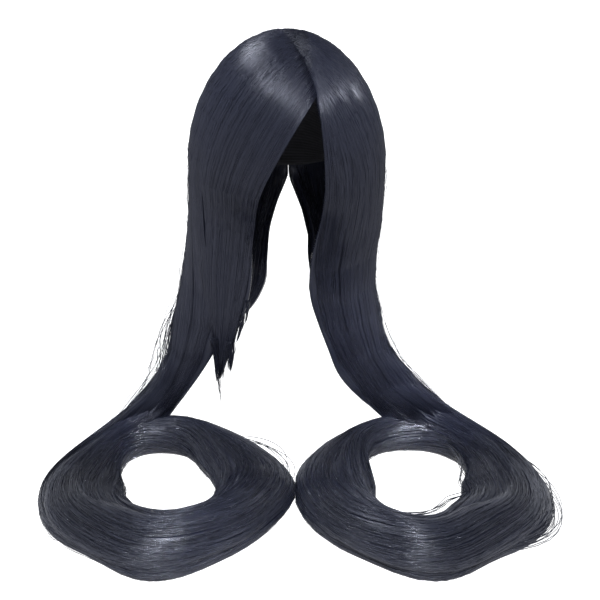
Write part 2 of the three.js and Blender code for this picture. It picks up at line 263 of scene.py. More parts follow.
FRINGE_SECTIONS = Table(SECTION, (
    (-130, 0, 2, 106, 112, 116, -76, -36, 14),
    (-165, 0, 0, 107, 92, 113, -70.5, -36, 13),
    (-195, 4, -2, 104, 84, 100, -72, -35, 12),
    (-225, 10, -5, 98, 79, 90, -74, -33, 12),
    (-255, 20, -8, 84, 76, 80, -75, -32, 11),
    (-285, 30, -10, 72, 73, 70, -72, -34, 10),
    (-312, 38, -14, 58, 69, 60, -68, -38, 9),
    (-335, 46, -20, 44, 62, 50, -58, -44, 7),
    (-350, 50, -24, 38, 58, 45, -50, -47, 4),
))
PLAN = ("angle", "outer", "eye")
LEFT_PLAN = Table(PLAN, (
    (0, 128, 47), (30, 112, 45), (60, 110, 51), (90, 123, 77), (120, 121, 89), (150, 118, 65),
    (180, 130, 46), (210, 127, 47), (240, 119, 49), (270, 134, 49), (300, 121, 51), (330, 121, 52),
), 360.0)
RIGHT_PLAN = Table(PLAN, (
    (0, 128, 42), (30, 124, 60), (60, 124, 82), (90, 124, 90), (120, 116, 86), (150, 122, 56),
    (180, 129, 46), (210, 126, 54), (240, 122, 60), (270, 133, 59), (300, 119, 47), (330, 131, 44),
), 360.0)
COIL_STRAND = Table(("share", "outwards", "lift", "half_width", "half_height"), (
    (0, 2, 0, 14, 9),
    (0.12, 4, 3, 17, 11),
    (0.3, 12, 7, 22, 15),
    (0.55, 11, 10, 30, 18),
    (0.8, 7, 8, 25, 15),
    (1, -4, 1, 12, 7),
))
STRAND_SPAN_DEG = 285.0
LEFT_LOOPS = ((24, 46, 22, 10), (235, 60, 4, -4), (215, 60, -7, 12))
RIGHT_LOOPS = (
    (345, 70, 14, -4),
    (333, 45, 10, 0),
    (5, 50, 9, 2),
    (20, 60, -14, 6),
    (45, 50, -12, 6),
    (290, 90, -15, 14),
)
DOME_STEPS = (0, 0.12, 0.24, 0.36, 0.49, 0.62, 0.75, 0.88, 1)
FALL_STEPS = (0.09, 0.2, 0.33, 0.47, 0.62, 0.76, 0.89, 1)


# Meshes

# A face's corners read the other way round, with the doubled corner of a triangle still at the end
OTHER_WAY = [1, 0, 3, 2]

# Strand coordinate over a wall's edge, and what is left of a section where a tube ends
RIM_LONG = 0.01
TUBE_END = 0.02


@dataclass
class Surface:
    """Points, faces and strand coordinates of one closed form, in millimetres.

    Attributes:
        points: Corners, one row each.
        quads: Corner numbers of the faces, four each. A triangle has its last one twice.
        uv: Strand coordinates of the faces' corners, across the hair and along it.
    """

    points: Array
    quads: Array
    uv: Array

    def turned_out(self) -> "Surface":
        """Turns the faces outwards, by the sign of the volume that they close off.

        Returns:
            The form, its faces read the other way round where they faced inwards.
        """
        p = self.points[self.quads]
        volume = np.einsum("ij,ij->i", p[:, 0], np.cross(p[:, 1], p[:, 2])).sum()
        volume += np.einsum("ij,ij->i", p[:, 0], np.cross(p[:, 2], p[:, 3])).sum()
        if volume < 0:
            return Surface(self.points, self.quads[:, OTHER_WAY], self.uv[:, OTHER_WAY])
        return self


def grid_quads(numbers: Array) -> Array:
    """Lists the faces of one grid, or of many at once.

    Args:
        numbers: Corner numbers, with rows and columns as the last two axes.

    Returns:
        Four corner numbers for each cell.
    """
    a, b = numbers[..., :-1, :-1], numbers[..., :-1, 1:]
    c, d = numbers[..., 1:, 1:], numbers[..., 1:, :-1]
    return np.stack([a, b, c, d], axis=-1).reshape(-1, 4)


def round_numbers(points: Array, ring: bool) -> Array:
    """Returns a grid's corner numbers, with its first column again at the end, and a ring's first row."""
    rows, columns = points.shape[:2]
    return np.pad(np.arange(rows * columns).reshape(rows, columns), ((0, int(ring)), (0, 1)), mode="wrap")


def grid_uv(rows: int, columns: int, wide: float, long: float) -> Array:
    """Spreads strand coordinates over a grid, its columns across the hair and its rows along it.

    Args:
        rows: Cells along the hair.
        columns: Cells across the hair.
        wide: Coordinate at the last column.
        long: Coordinate at the last row.

    Returns:
        Coordinates of each cell's four corners.
    """
    u = np.broadcast_to(np.linspace(0.0, wide, columns + 1), (rows + 1, columns + 1))
    v = np.broadcast_to(np.linspace(0.0, long, rows + 1)[:, None], u.shape)
    at = np.arange(u.size).reshape(u.shape)
    return np.stack([u.ravel(), v.ravel()], axis=-1)[grid_quads(at)]


def wall(outer: Array, inner: Array, wide: float, long: float) -> Surface:
    """Closes two grids of points of one size along their four edges.

    Args:
        outer: Outer points, rows by columns.
        inner: Inner points in the same order.
        wide: Strand coordinate across the last column.
        long: Strand coordinate at the last row.

    Returns:
        The closed form.
    """
    rows, columns = outer.shape[0] - 1, outer.shape[1] - 1
    out = np.arange(outer.shape[0] * outer.shape[1]).reshape(outer.shape[:2])
    into = out + out.size
    rims = [np.stack([into[0], out[0]]), np.stack([out[-1], into[-1]])]
    rims += [np.stack([out[:, 0], into[:, 0]]), np.stack([into[:, -1], out[:, -1]])]
    quads = [grid_quads(out), grid_quads(into)[:, ::-1]] + [grid_quads(rim) for rim in rims]
    cells = grid_uv(rows, columns, wide, long)
    uv = [cells, cells[:, ::-1]] + [grid_uv(1, rim.shape[1] - 1, wide, RIM_LONG) for rim in rims]
    points = np.concatenate([outer.reshape(-1, 3), inner.reshape(-1, 3)])
    return Surface(points, np.concatenate(quads), np.concatenate(uv)).turned_out()


def loop(points: Array, wide: float, long: float) -> Surface:
    """Closes a grid of points on itself both ways, as on a ring.

    Args:
        points: Points, rows round the ring by columns round its section.
        wide: Strand coordinate round the section.
        long: Strand coordinate round the ring.

    Returns:
        The closed form.
    """
    quads = grid_quads(round_numbers(points, True))
    return Surface(points.reshape(-1, 3), quads, grid_uv(*points.shape[:2], wide, long)).turned_out()


def tube(rings: Array, wide: float, long: float) -> Surface:
    """Closes a row of rings, which are drawn together at the two ends and closed by fans of triangles.

    Args:
        rings: Points, rows along the tube by columns round it.
        wide: Strand coordinate round the tube.
        long: Strand coordinate along it.

    Returns:
        The closed form.
    """
    outer = rings[[0, -1]]
    middles = outer.mean(axis=1, keepdims=True)
    small = middles * (1.0 - TUBE_END) + outer * TUBE_END
    points = np.concatenate([small[:1], rings, small[1:]])
    numbers = round_numbers(points, False)
    first, last = numbers[0], numbers[-1]
    hub = np.full(len(first) - 1, numbers.max() + 1)
    fans = [np.stack([first[1:], first[:-1], hub, hub], axis=-1)]
    fans += [np.stack([last[:-1], last[1:], hub + 1, hub + 1], axis=-1)]
    quads = np.concatenate([grid_quads(numbers)] + fans)
    sides = grid_uv(len(points) - 1, points.shape[1], wide, long)
    uv = np.concatenate([sides, np.zeros((2 * len(hub), 4, 2))])
    return Surface(np.concatenate([points.reshape(-1, 3), middles[:, 0]]), quads, uv).turned_out()


def strands(paths: Array, radius: Array, facing: Array, shade: Array) -> Surface:
    """Sweeps a thin three-sided section along many paths at once.

    A section's corner is the path's point plus the radius times (cos a, sin a) on the axes that the path's
    direction and the facing give. The radius runs out to a point at both ends.

    Args:
        paths: Points, strands by steps.
        radius: Radius of each strand.
        facing: Direction that the hair faces there, in the paths' shape or one that fits it.
        shade: Strand coordinate across the hair, one for each strand.

    Returns:
        The closed strands.
    """
    count, steps = paths.shape[:2]
    along = unit(np.gradient(paths, axis=1))
    beside = unit(np.cross(along, np.broadcast_to(facing, paths.shape)))
    above = np.cross(beside, along)
    share = np.linspace(0.0, 1.0, steps)
    root = share / ROOT_TAPER[0] + ROOT_TAPER[1]
    tip = (1.0 - share) / TIP_TAPER[0] + TIP_TAPER[1]
    thick = (radius[:, None] * np.minimum(1.0, np.minimum(root, tip)))[..., None, None]
    angles = np.radians(SIDES_DEG)[:, None]
    section = np.cos(angles) * beside[:, :, None] + np.sin(angles) * above[:, :, None]
    points = (paths[:, :, None] + thick * section).reshape(-1, 3)
    numbers = np.arange(count * steps * 3).reshape(count, steps, 3)
    numbers = np.concatenate([numbers, numbers[:, :, :1]], axis=2)
    quads = grid_quads(numbers)
    reach = np.linalg.norm(np.diff(paths, axis=1), axis=-1).sum(axis=1) * MM
    v = share[None, :, None] * reach[:, None, None] + np.zeros(3)
    u = shade[:, None, None] + np.zeros((1, steps, 3))
    uv = np.stack([u.ravel(), v.ravel()], axis=-1)[quads]
    tips = np.stack([numbers[:, 0, [0, 2, 1, 1]], numbers[:, -1, [0, 1, 2, 2]]], axis=1).reshape(-1, 4)
    whole = Surface(points, np.concatenate([quads, tips]), np.concatenate([uv, np.zeros((len(tips), 4, 2))]))
    return whole.turned_out()


def draw_strands(
    rng: np.random.Generator, paths: Array, facing: Array, radii: tuple[float, float] = STRAND_RADIUS
) -> Surface:
    """Sweeps strands along paths, with radii and shades drawn at random.

    Args:
        rng: Random numbers.
        paths: Points, strands by steps.
        facing: Direction that the hair faces there.
        radii: Smallest and largest radius.

    Returns:
        The closed strands.
    """
    radius = rng.uniform(*radii, len(paths))
    return strands(paths, radius, facing, rng.uniform(*SHADES, len(paths)))


def add_object(name: str, data: bpy.types.ID) -> bpy.types.Object:
    """Puts a mesh, a light or a camera into the scene.

    Args:
        name: Name of the object.
        data: What it shows.

    Returns:
        The object, at the origin.
    """
    made = bpy.data.objects.new(name, data)
    bpy.context.scene.collection.objects.link(made)
    return made


def mesh_object(name: str, *surfaces: Surface) -> bpy.types.Object:
    """Makes one object of some closed forms.

    Args:
        name: Name of the piece.
        surfaces: Forms in millimetres.

    Returns:
        The object, at the origin, with smooth sides, flat tips and its strand coordinates.
    """
    starts = np.cumsum([0] + [len(s.points) for s in surfaces[:-1]])
    points = np.concatenate([s.points for s in surfaces]) * MM
    quads = np.concatenate([s.quads + start for s, start in zip(surfaces, starts)])
    uv = np.concatenate([s.uv for s in surfaces]).reshape(-1, 2)
    corners = quads.ravel()
    whole = np.ones(len(corners), dtype=bool)
    whole[3::4] = quads[:, 3] != quads[:, 2]
    sizes = whole.reshape(-1, 4).sum(axis=1)
    mesh = bpy.data.meshes.new(name)
    mesh.vertices.add(len(points))
    mesh.vertices.foreach_set("co", points.astype(np.float32).ravel())
    mesh.loops.add(int(whole.sum()))
    mesh.loops.foreach_set("vertex_index", corners[whole].astype(np.int32))
    mesh.polygons.add(len(quads))
    mesh.polygons.foreach_set("loop_start", (np.cumsum(sizes) - sizes).astype(np.int32))
    mesh.polygons.foreach_set("loop_total", sizes.astype(np.int32))
    mesh.polygons.foreach_set("use_smooth", sizes == 4)
    layer = mesh.uv_layers.new(name=UV_NAME)
    layer.data.foreach_set("uv", uv[whole].astype(np.float32).ravel())
    mesh.update(calc_edges=True)
    mesh.validate()
    return add_object(name, mesh)


# Finishes

FIBRE_SOCKETS = (
    ("Strand", "INPUT", "Vector"),
    ("Dark", "INPUT", "Color"),
    ("Light", "INPUT", "Color"),
    ("Matt", "INPUT", "Float"),
    ("Gloss", "INPUT", "Float"),
    ("Colour", "OUTPUT", "Color"),
    ("Roughness", "OUTPUT", "Float"),
    ("Height", "OUTPUT", "Float"),
)

# Scales of single fibres and of bundles across and along the hair, the bundles' share, and the noise used
FIBRE_SCALES = ((1400.0, 7.0, 1.0), (160.0, 9.0, 1.0))
FIBRE_SHARE = 0.4
FIBRE_RANGE = {"From Min": 0.34, "From Max": 0.68}

# Radians that a wave of scale one turns in a metre
WAVE_TURN = 20.0


def link(tree: bpy.types.NodeTree, output: bpy.types.NodeSocket, target: bpy.types.NodeSocket) -> None:
    """Joins two sockets."""
    tree.links.new(output, target)


def fill(node: bpy.types.Node, values: dict[str, object]) -> None:
    """Sets some inputs of a node by their names."""
    for name, value in values.items():
        node.inputs[name].default_value = value


def colour_mix(tree: bpy.types.NodeTree) -> tuple[bpy.types.NodeSocket, ...]:
    """Adds a node that mixes two colours.

    Args:
        tree: Nodes that it joins.

    Returns:
        Its factor, its two colours and its result.
    """
    node = tree.nodes.new("ShaderNodeMix")
    node.data_type = "RGBA"
    first, second = (s for s in node.inputs if s.type == "RGBA")
    return node.inputs["Factor"], first, second, next(s for s in node.outputs if s.type == "RGBA")


def add_relief(
    tree: bpy.types.NodeTree,
    shader: bpy.types.Node,
    height: bpy.types.NodeSocket,
    strength: float,
    depth: float,
) -> None:
    """Gives a shader a relief.

    Args:
        tree: Nodes of the material.
        shader: The shader.
        height: Socket of the height, from 0 to 1.
        strength: Share of the relief that shows.
        depth: Height at 1, in metres.
    """
    bump = tree.nodes.new("ShaderNodeBump")
    fill(bump, {"Strength": strength, "Distance": depth})
    link(tree, height, bump.inputs["Height"])
    link(tree, bump.outputs["Normal"], shader.inputs["Normal"])


def new_material(name: str) -> tuple[bpy.types.Material, bpy.types.NodeTree, bpy.types.Node]:
    """Makes a plain material.

    Args:
        name: Name of the material.

    Returns:
        The material, its nodes and its shader.
    """
    made = bpy.data.materials.new(name)
    made.use_nodes = True
    return made, made.node_tree, made.node_tree.nodes["Principled BSDF"]


def strand_place(tree: bpy.types.NodeTree) -> bpy.types.NodeSocket:
    """Adds the strand coordinates to a material.

    Args:
        tree: Nodes of the material.

    Returns:
        Their socket.
    """
    place = tree.nodes.new("ShaderNodeUVMap")
    place.uv_map = UV_NAME
    return place.outputs["UV"]


def fibre_group() -> bpy.types.NodeTree:
    """Builds the fibre pattern: noise drawn out along the hair gives each fibre a tone, a gloss and a height.

    Returns:
        The node group, with Colour, Roughness and Height outputs.
    """
    group = bpy.data.node_groups.new("fibre", "ShaderNodeTree")
    for name, way, kind in FIBRE_SOCKETS:
        group.interface.new_socket(name, in_out=way, socket_type=f"NodeSocket{kind}")
    start, end = group.nodes.new("NodeGroupInput"), group.nodes.new("NodeGroupOutput")
    both = group.nodes.new("ShaderNodeMix")
    both.inputs["Factor"].default_value = FIBRE_SHARE
    for scale, target in zip(FIBRE_SCALES, ("A", "B")):
        stretch = group.nodes.new("ShaderNodeMapping")
        stretch.inputs["Scale"].default_value = scale
        noise = group.nodes.new("ShaderNodeTexNoise")
        noise.noise_dimensions = "2D"
        fill(noise, {"Scale": 1.0, "Detail": 2.0})
        link(group, start.outputs["Strand"], stretch.inputs["Vector"])
        link(group, stretch.outputs["Vector"], noise.inputs["Vector"])
        link(group, noise.outputs["Fac"], both.inputs[target])
    spread = group.nodes.new("ShaderNodeMapRange")
    fill(spread, FIBRE_RANGE)
    link(group, both.outputs["Result"], spread.inputs["Value"])
    share, dark, light, colour = colour_mix(group)
    gloss = group.nodes.new("ShaderNodeMix")
    for target in (share, gloss.inputs["Factor"], end.inputs["Height"]):
        link(group, spread.outputs["Result"], target)
    targets = {"Dark": dark, "Light": light, "Matt": gloss.inputs["A"], "Gloss": gloss.inputs["B"]}
    for name, target in targets.items():
        link(group, start.outputs[name], target)
    link(group, colour, end.inputs["Colour"])
    link(group, gloss.outputs["Result"], end.inputs["Roughness"])
    return group


@dataclass(frozen=True)
class HairFinish:
    """Black synthetic fibre with a blue-grey sheen.

    Attributes:
        name: Name of the material.
        dark: Colour of the darkest fibres.
        light: Colour of the lightest fibres.
        matt: Roughness of the dullest fibres.
        gloss: Roughness of the shiniest fibres.
        specular: Strength of the reflection.
        anisotropy: How far highlights spread across the fibres.
        relief: Height of the fibres in metres.
        strength: Share of the relief that shows.
        tint: Colour of the reflection.
    """

    name: str
    dark: tuple[float, float, float] = (0.0055, 0.0062, 0.0115)
    light: tuple[float, float, float] = (0.0135, 0.015, 0.0255)
    matt: float = 0.31
    gloss: float = 0.19
    specular: float = 0.25
    anisotropy: float = 0.0
    relief: float = 0.0
    strength: float = 0.6
    tint: tuple[float, float, float] = (0.86, 0.88, 1.0)

    def material(self, fibre: bpy.types.NodeTree) -> bpy.types.Material:
        """Builds the material.

        Args:
            fibre: The fibre pattern.

        Returns:
            The material.
        """
        made, tree, shader = new_material(self.name)
        pattern = tree.nodes.new("ShaderNodeGroup")
        pattern.node_tree = fibre
        fill(pattern, {"Dark": (*self.dark, 1.0), "Light": (*self.light, 1.0)})
        fill(pattern, {"Matt": self.matt, "Gloss": self.gloss})
        fill(shader, {"Specular IOR Level": self.specular, "Specular Tint": (*self.tint, 1.0)})
        link(tree, strand_place(tree), pattern.inputs["Strand"])
        link(tree, pattern.outputs["Colour"], shader.inputs["Base Color"])
        link(tree, pattern.outputs["Roughness"], shader.inputs["Roughness"])
        if self.anisotropy:
            across = tree.nodes.new("ShaderNodeTangent")
            across.direction_type = "UV_MAP"
            across.uv_map = UV_NAME
            shader.inputs["Anisotropic"].default_value = self.anisotropy
            link(tree, across.outputs["Tangent"], shader.inputs["Tangent"])
        if self.relief:
            add_relief(tree, shader, pattern.outputs["Height"], self.strength, self.relief)
        return made


@dataclass(frozen=True)
class NetFinish:
    """Matt black net with rows of weft.

    Attributes:
        name: Name of the material.
        thread: Colour of the threads.
        hole: Colour seen between the threads.
        rows: Rows of weft for each metre.
        mesh: Threads for each metre.
        weft: Height of a row of weft, where a thread's is 1.
        relief: Height of the threads in metres.
        strength: Share of the relief that shows.
        specular: Strength of the reflection.
        roughness: Roughness all over.
    """

    name: str = "cap_net"
    thread: tuple[float, float, float] = (0.04, 0.04, 0.046)
    hole: tuple[float, float, float] = (0.008, 0.008, 0.01)
    rows: float = 75.0
    mesh: float = 420.0
    weft: float = 1.4
    relief: float = 0.0006
    strength: float = 0.7
    specular: float = 0.2
    roughness: float = 0.85

    def material(self) -> bpy.types.Material:
        """Builds the material: two crossed waves for the net and a wide wave for the weft.

        Returns:
            The material.
        """
        made, tree, shader = new_material(self.name)
        fill(shader, {"Specular IOR Level": self.specular, "Roughness": self.roughness})
        place = strand_place(tree)
        waves = []
        for way, scale in (("X", self.mesh), ("Y", self.mesh), ("Y", self.rows)):
            wave = tree.nodes.new("ShaderNodeTexWave")
            wave.bands_direction = way
            fill(wave, {"Scale": scale / WAVE_TURN * math.tau, "Distortion": 0.0})
            link(tree, place, wave.inputs["Vector"])
            waves.append(wave.outputs["Fac"])
        net = tree.nodes.new("ShaderNodeMath")
        net.operation = "MAXIMUM"
        link(tree, waves[0], net.inputs[0])
        link(tree, waves[1], net.inputs[1])
        raised = tree.nodes.new("ShaderNodeMath")
        raised.operation = "MULTIPLY_ADD"
        raised.inputs[1].default_value = self.weft
        link(tree, waves[2], raised.inputs[0])
        link(tree, net.outputs["Value"], raised.inputs[2])
        share, hole, thread, colour = colour_mix(tree)
        hole.default_value = (*self.hole, 1.0)
        thread.default_value = (*self.thread, 1.0)
        link(tree, net.outputs["Value"], share)
        link(tree, colour, shader.inputs["Base Color"])
        add_relief(tree, shader, raised.outputs["Value"], self.strength, self.relief)
        return made


def settle(piece: bpy.types.Object, slot: str, material: bpy.types.Material, *nodes: str) -> bpy.types.Object:
    """Gives a piece its body and its finish, and hides the nodes that it stands for.

    Args:
        piece: The piece.
        slot: Material slot of the record. Not used.
        material: Its material.
        nodes: Nodes that it replaces.

    Returns:
        The piece.
    """
    piece.data.materials.append(material)
    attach(piece, BODY)
    if nodes:
        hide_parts(*nodes)
    log.info("%s: %d faces", piece.name, len(piece.data.polygons))
    return piece


# Cap


def on_fit(points: Array, clearance: float) -> Array:
    """Moves points onto the ellipsoid inside the cap, along the lines to its centre.

    Args:
        points: Points, in any number of rows.
        clearance: How far the ellipsoid is grown.

    Returns:
        The points on it.
    """
    centre = np.array([0.0, 0.0, -FIT[2]])
    way = points - centre
    return centre + way / np.linalg.norm(way / (FIT + clearance), axis=-1, keepdims=True)


@dataclass
class Cap:
    """The thin net dome inside the hair.

    Attributes:
        rim_mean: Mean height of the rim.
        rim_slope: How far the rim falls from the front to the back.
        rim_dip: How far it dips at both sides.
        cells: Cells across the dome, both ways.
        net: Strand coordinate across the dome, in metres.
    """

    rim_mean: float = -98.0
    rim_slope: float = -54.0
    rim_dip: float = -2.0
    cells: int = 56
    net: float = 0.3

    def skin(self, clearance: float) -> Array:
        """Draws the dome at some clearance from the ellipsoid inside it.

        A square of u and v becomes a disc as (u sqrt(1 - v²/2), v sqrt(1 - u²/2)), so there is no pole.
        The disc's angle is the turn round the dome, and its radius the share of the way down to the rim.

        Args:
            clearance: Distance from the ellipsoid.

        Returns:
            Points, rows by columns.
        """
        line = np.linspace(-1.0, 1.0, self.cells + 1)
        u, v = np.meshgrid(line, line)
        x, y = u * np.sqrt(1.0 - v**2 / 2), v * np.sqrt(1.0 - u**2 / 2)
        angle, share = np.arctan2(y, x), np.hypot(x, y)
        rim = self.rim_mean + self.rim_slope * np.sin(angle) + self.rim_dip * np.cos(2 * angle)
        dip = np.arccos((rim + FIT[2]) / FIT[2]) * share
        way = np.stack([np.sin(dip) * np.cos(angle), np.sin(dip) * np.sin(angle), np.cos(dip) - 1.0], axis=-1)
        return on_fit(way * FIT, clearance)

    def build(self) -> bpy.types.Object:
        """Builds the dome as a thin wall."""
        return mesh_object("cap_dome", wall(self.skin(CAP_WALL), self.skin(0.0), self.net, self.net))

    def dress(self, net: bpy.types.Material) -> None:
        """Builds the cap and gives it its net."""
        settle(self.build(), "cap_net", net, "cap")


# Coils

# How near the pile's edge a strand may land, how deep the ends of loose hairs sit, and the share in the eye
SEAT_EDGE = 0.98
SEATED = 1.5
INNER_SHARE = 0.3


def ripple(lift: Array, waves: tuple[tuple[float, ...], ...], turn: Array, wind: Array) -> Array:
    """Adds shallow grooves to a lift, as a sum of waves round the section that drift along it.

    Args:
        lift: Height over the section.
        waves: Size, number round the section and drift of each wave.
        turn: Angle round the section.
        wind: Place along it.

    Returns:
        The height with the grooves.
    """
    for size, times, drift in waves:
        lift = lift + size * np.cos(times * turn + drift * wind)
    return lift


@dataclass
class Coil:
    """A round flat coil: a pile on the floor with the free strand of the fall laid over it.

    Attributes:
        name: Name of the node it stands for.
        side: Side that it lies on.
        centre_x: Middle of its eye.
        plan: Table of its outer radius and its eye.
        start_deg: Angle where the free strand leaves the fall.
        fray_deg: Angle round which most of its loose hairs stand off.
        count: Number of strands on the pile, and again on the free strand.
        seed: Seed of its random numbers.
        loops: Middle angle and span in degrees, bow and height of its loops of hairs. In the eye, the bow
            is less than 0.
        loop_hairs: Hairs of each loop.
        twist: Degrees that the free strand's hairs turn outwards over their length.
        drift: Degrees that the hairs beside the eye turn outwards over theirs.
        cells: Cells round a section, round the pile and along the free strand.
        pile_uv: Strand coordinates round the pile's section and along the pile, in metres.
        free_uv: The same for the free strand.
        steps: Points of each strand.
        strays: Number of loose hairs besides the loops, and points of each.
    """

    name: str
    side: Side
    centre_x: float
    plan: Table
    start_deg: float
    fray_deg: float
    count: int
    seed: int
    loops: tuple[tuple[float, ...], ...] = ()
    loop_hairs: int = 5
    twist: float = 40.0
    drift: float = 45.0
    cells: tuple[int, int, int] = (36, 108, 80)
    pile_uv: tuple[float, float] = (0.2, 0.56)
    free_uv: tuple[float, float] = (0.14, 0.5)
    steps: int = 12
    strays: tuple[int, int] = (70, 12)

    def oval(self, degrees: Array, turn: Array, size: dict[str, Array]) -> Array:
        """Finds points of an oval section, pressed flat by the floor and by the other coil.

        A point is the section's middle plus half_width cos(turn) outwards and half_height sin(turn) upwards.

        Args:
            degrees: Angle round the coil.
            turn: Angle round the section.
            size: The section's middle radius and height z, its half width and its half height.

        Returns:
            The points.
        """
        angle = np.radians(degrees)
        reach = size["radius"] + size["half_width"] * np.cos(turn)
        x = self.centre_x + reach * np.cos(angle)
        waist = WAIST_X + self.side.value * PRESS
        x = np.minimum(x, waist) if self.side is Side.LEFT else np.maximum(x, waist)
        z = np.maximum(size["z"] + size["half_height"] * np.sin(turn), FLOOR_Z)
        return np.stack(np.broadcast_arrays(x, COIL_CENTRE_Y + reach * np.sin(angle), z), axis=-1)

    def ring(self, degrees: Array) -> tuple[Array, Array]:
        """Returns the pile's middle radius and half width."""
        plan = self.plan.at(degrees)
        return (plan["outer"] + plan["eye"]) / 2, (plan["outer"] - plan["eye"]) / 2

    def pile(self, degrees: Array, turn: Array, lift: Array) -> Array:
        """Finds points over the pile, with shallow grooves that wind round it.

        Args:
            degrees: Angle round the coil.
            turn: Angle round the section.
            lift: Height over the pile.

        Returns:
            The points.
        """
        radius, half = self.ring(degrees)
        up = ripple(lift, PILE_WAVES, turn, np.radians(degrees))
        size = {
            "radius": radius,
            "half_width": half + up,
            "half_height": COIL_HALF_HEIGHT + up,
            "z": COIL_BASE_Z,
        }
        return self.oval(degrees, turn, size)

    def free_deg(self, share: Array) -> Array:
        """Returns the angle of a share of the free strand."""
        return self.start_deg - self.side.value * STRAND_SPAN_DEG * share

    def free(self, share: Array, turn: Array, lift: Array) -> Array:
        """Finds points over the free strand, with shallow grooves that wind round it.

        Args:
            share: Share of its length.
            turn: Angle round the section.
            lift: Height over the strand.

        Returns:
            The points.
        """
        row = COIL_STRAND.at(share)
        degrees = self.free_deg(share)
        up = ripple(lift, FREE_WAVES, turn, share)
        size = {
            "radius": self.ring(degrees)[0] + row["outwards"],
            "half_width": row["half_width"] + up,
            "half_height": row["half_height"] + up,
            "z": COIL_BASE_Z + row["lift"],
        }
        return self.oval(degrees, turn, size)

    def spot(self, points: Array) -> tuple[Array, Array, Array]:
        """Finds where points lie over the coil, seen from above.

        Args:
            points: Points in space.

        Returns:
            Their angle round the coil in degrees, how far out they are from the pile's middle, and its
            half width.
        """
        away = points[..., :2] - np.array([self.centre_x, COIL_CENTRE_Y])
        degrees = np.degrees(np.arctan2(away[..., 1], away[..., 0]))
        radius, half = self.ring(degrees)
        return degrees, np.linalg.norm(away, axis=-1) - radius, half

    def height(self, points: Array) -> Array:
        """Finds the height of the coil's top under some points.

        The top of an oval is its middle plus its half height times sqrt(1 - r²), with r the place across it.

        Args:
            points: Points over the floor.

        Returns:
            Heights, the floor's where the coil isn't.
        """
        degrees, reach, half = self.spot(points)
        share = np.mod(self.side.value * (self.start_deg - degrees), 360.0) / STRAND_SPAN_DEG
        row = COIL_STRAND.at(np.clip(share, 0.0, 1.0))
        level = 1.0 - (reach / half) ** 2
        pile = np.where(level > 0, COIL_BASE_Z + COIL_HALF_HEIGHT * np.sqrt(np.maximum(level, 0.0)), FLOOR_Z)
        level = np.where(share < 1.0, 1.0 - ((reach - row["outwards"]) / row["half_width"]) ** 2, -1.0)
        top = COIL_BASE_Z + row["lift"] + row["half_height"] * np.sqrt(np.maximum(level, 0.0))
        return np.maximum(pile, np.where(level > 0, top, FLOOR_Z))

    def base(self) -> list[Surface]:
        """Builds the form under the strands.

        Returns:
            The closed pile and the closed free strand.
        """
        round_it, along_pile, along_free = self.cells
        turn = np.linspace(0.0, math.tau, round_it + 1)[None, :-1]
        degrees = np.linspace(0.0, 360.0, along_pile + 1)[:-1, None]
        under = np.full((1, 1), -INSET)
        rings = self.free(np.linspace(0.0, 1.0, along_free + 1)[:, None], turn, under)
        return [loop(self.pile(degrees, turn, under), *self.pile_uv), tube(rings, *self.free_uv)]

    def wind(self, rng: np.random.Generator) -> Surface:
        """Lays strands round the coil, along the pile and along the free strand.

        Args:
            rng: Random numbers.

        Returns:
            The strands.
        """
        one = (self.count, 1)
        share = np.linspace(0.0, 1.0, self.steps)[None]
        begin = rng.uniform(0.0, 360.0, one)
        arc = rng.uniform(70.0, 130.0, one)
        degrees = begin - self.side.value * arc * share
        turn = rng.uniform(-45.0, 225.0, one)
        waver = rng.normal(0.0, 14.0, one)
        turn = np.radians(turn + (waver - self.drift * fade(60.0, 120.0, turn)) * share)
        lift = rng.uniform(-0.5, 0.6, one)
        low, high = self.pile(degrees, turn, lift), self.pile(degrees, turn, lift + PROBE)
        begin = rng.uniform(-0.1, 0.8, one)
        length = rng.uniform(0.25, 0.45, one)
        run = np.clip(begin + length * share, 0.0, 1.0)
        turn = rng.uniform(-60.0, 240.0, one)
        waver = rng.normal(0.0, 12.0, one)
        turn = np.radians(turn + (waver - self.twist) * share)
        over, above = self.free(run, turn, lift), self.free(run, turn, lift + PROBE)
        paths = np.concatenate([low, over])
        return draw_strands(rng, paths, unit(np.concatenate([high, above]) - paths))

    def seat(self, points: Array) -> tuple[Array, Array]:
        """Returns the angle round the coil and the turn round its upper side that lie under some points."""
        degrees, reach, half = self.spot(points)
        return degrees, np.arccos(np.clip(reach / half, -SEAT_EDGE, SEAT_EDGE))

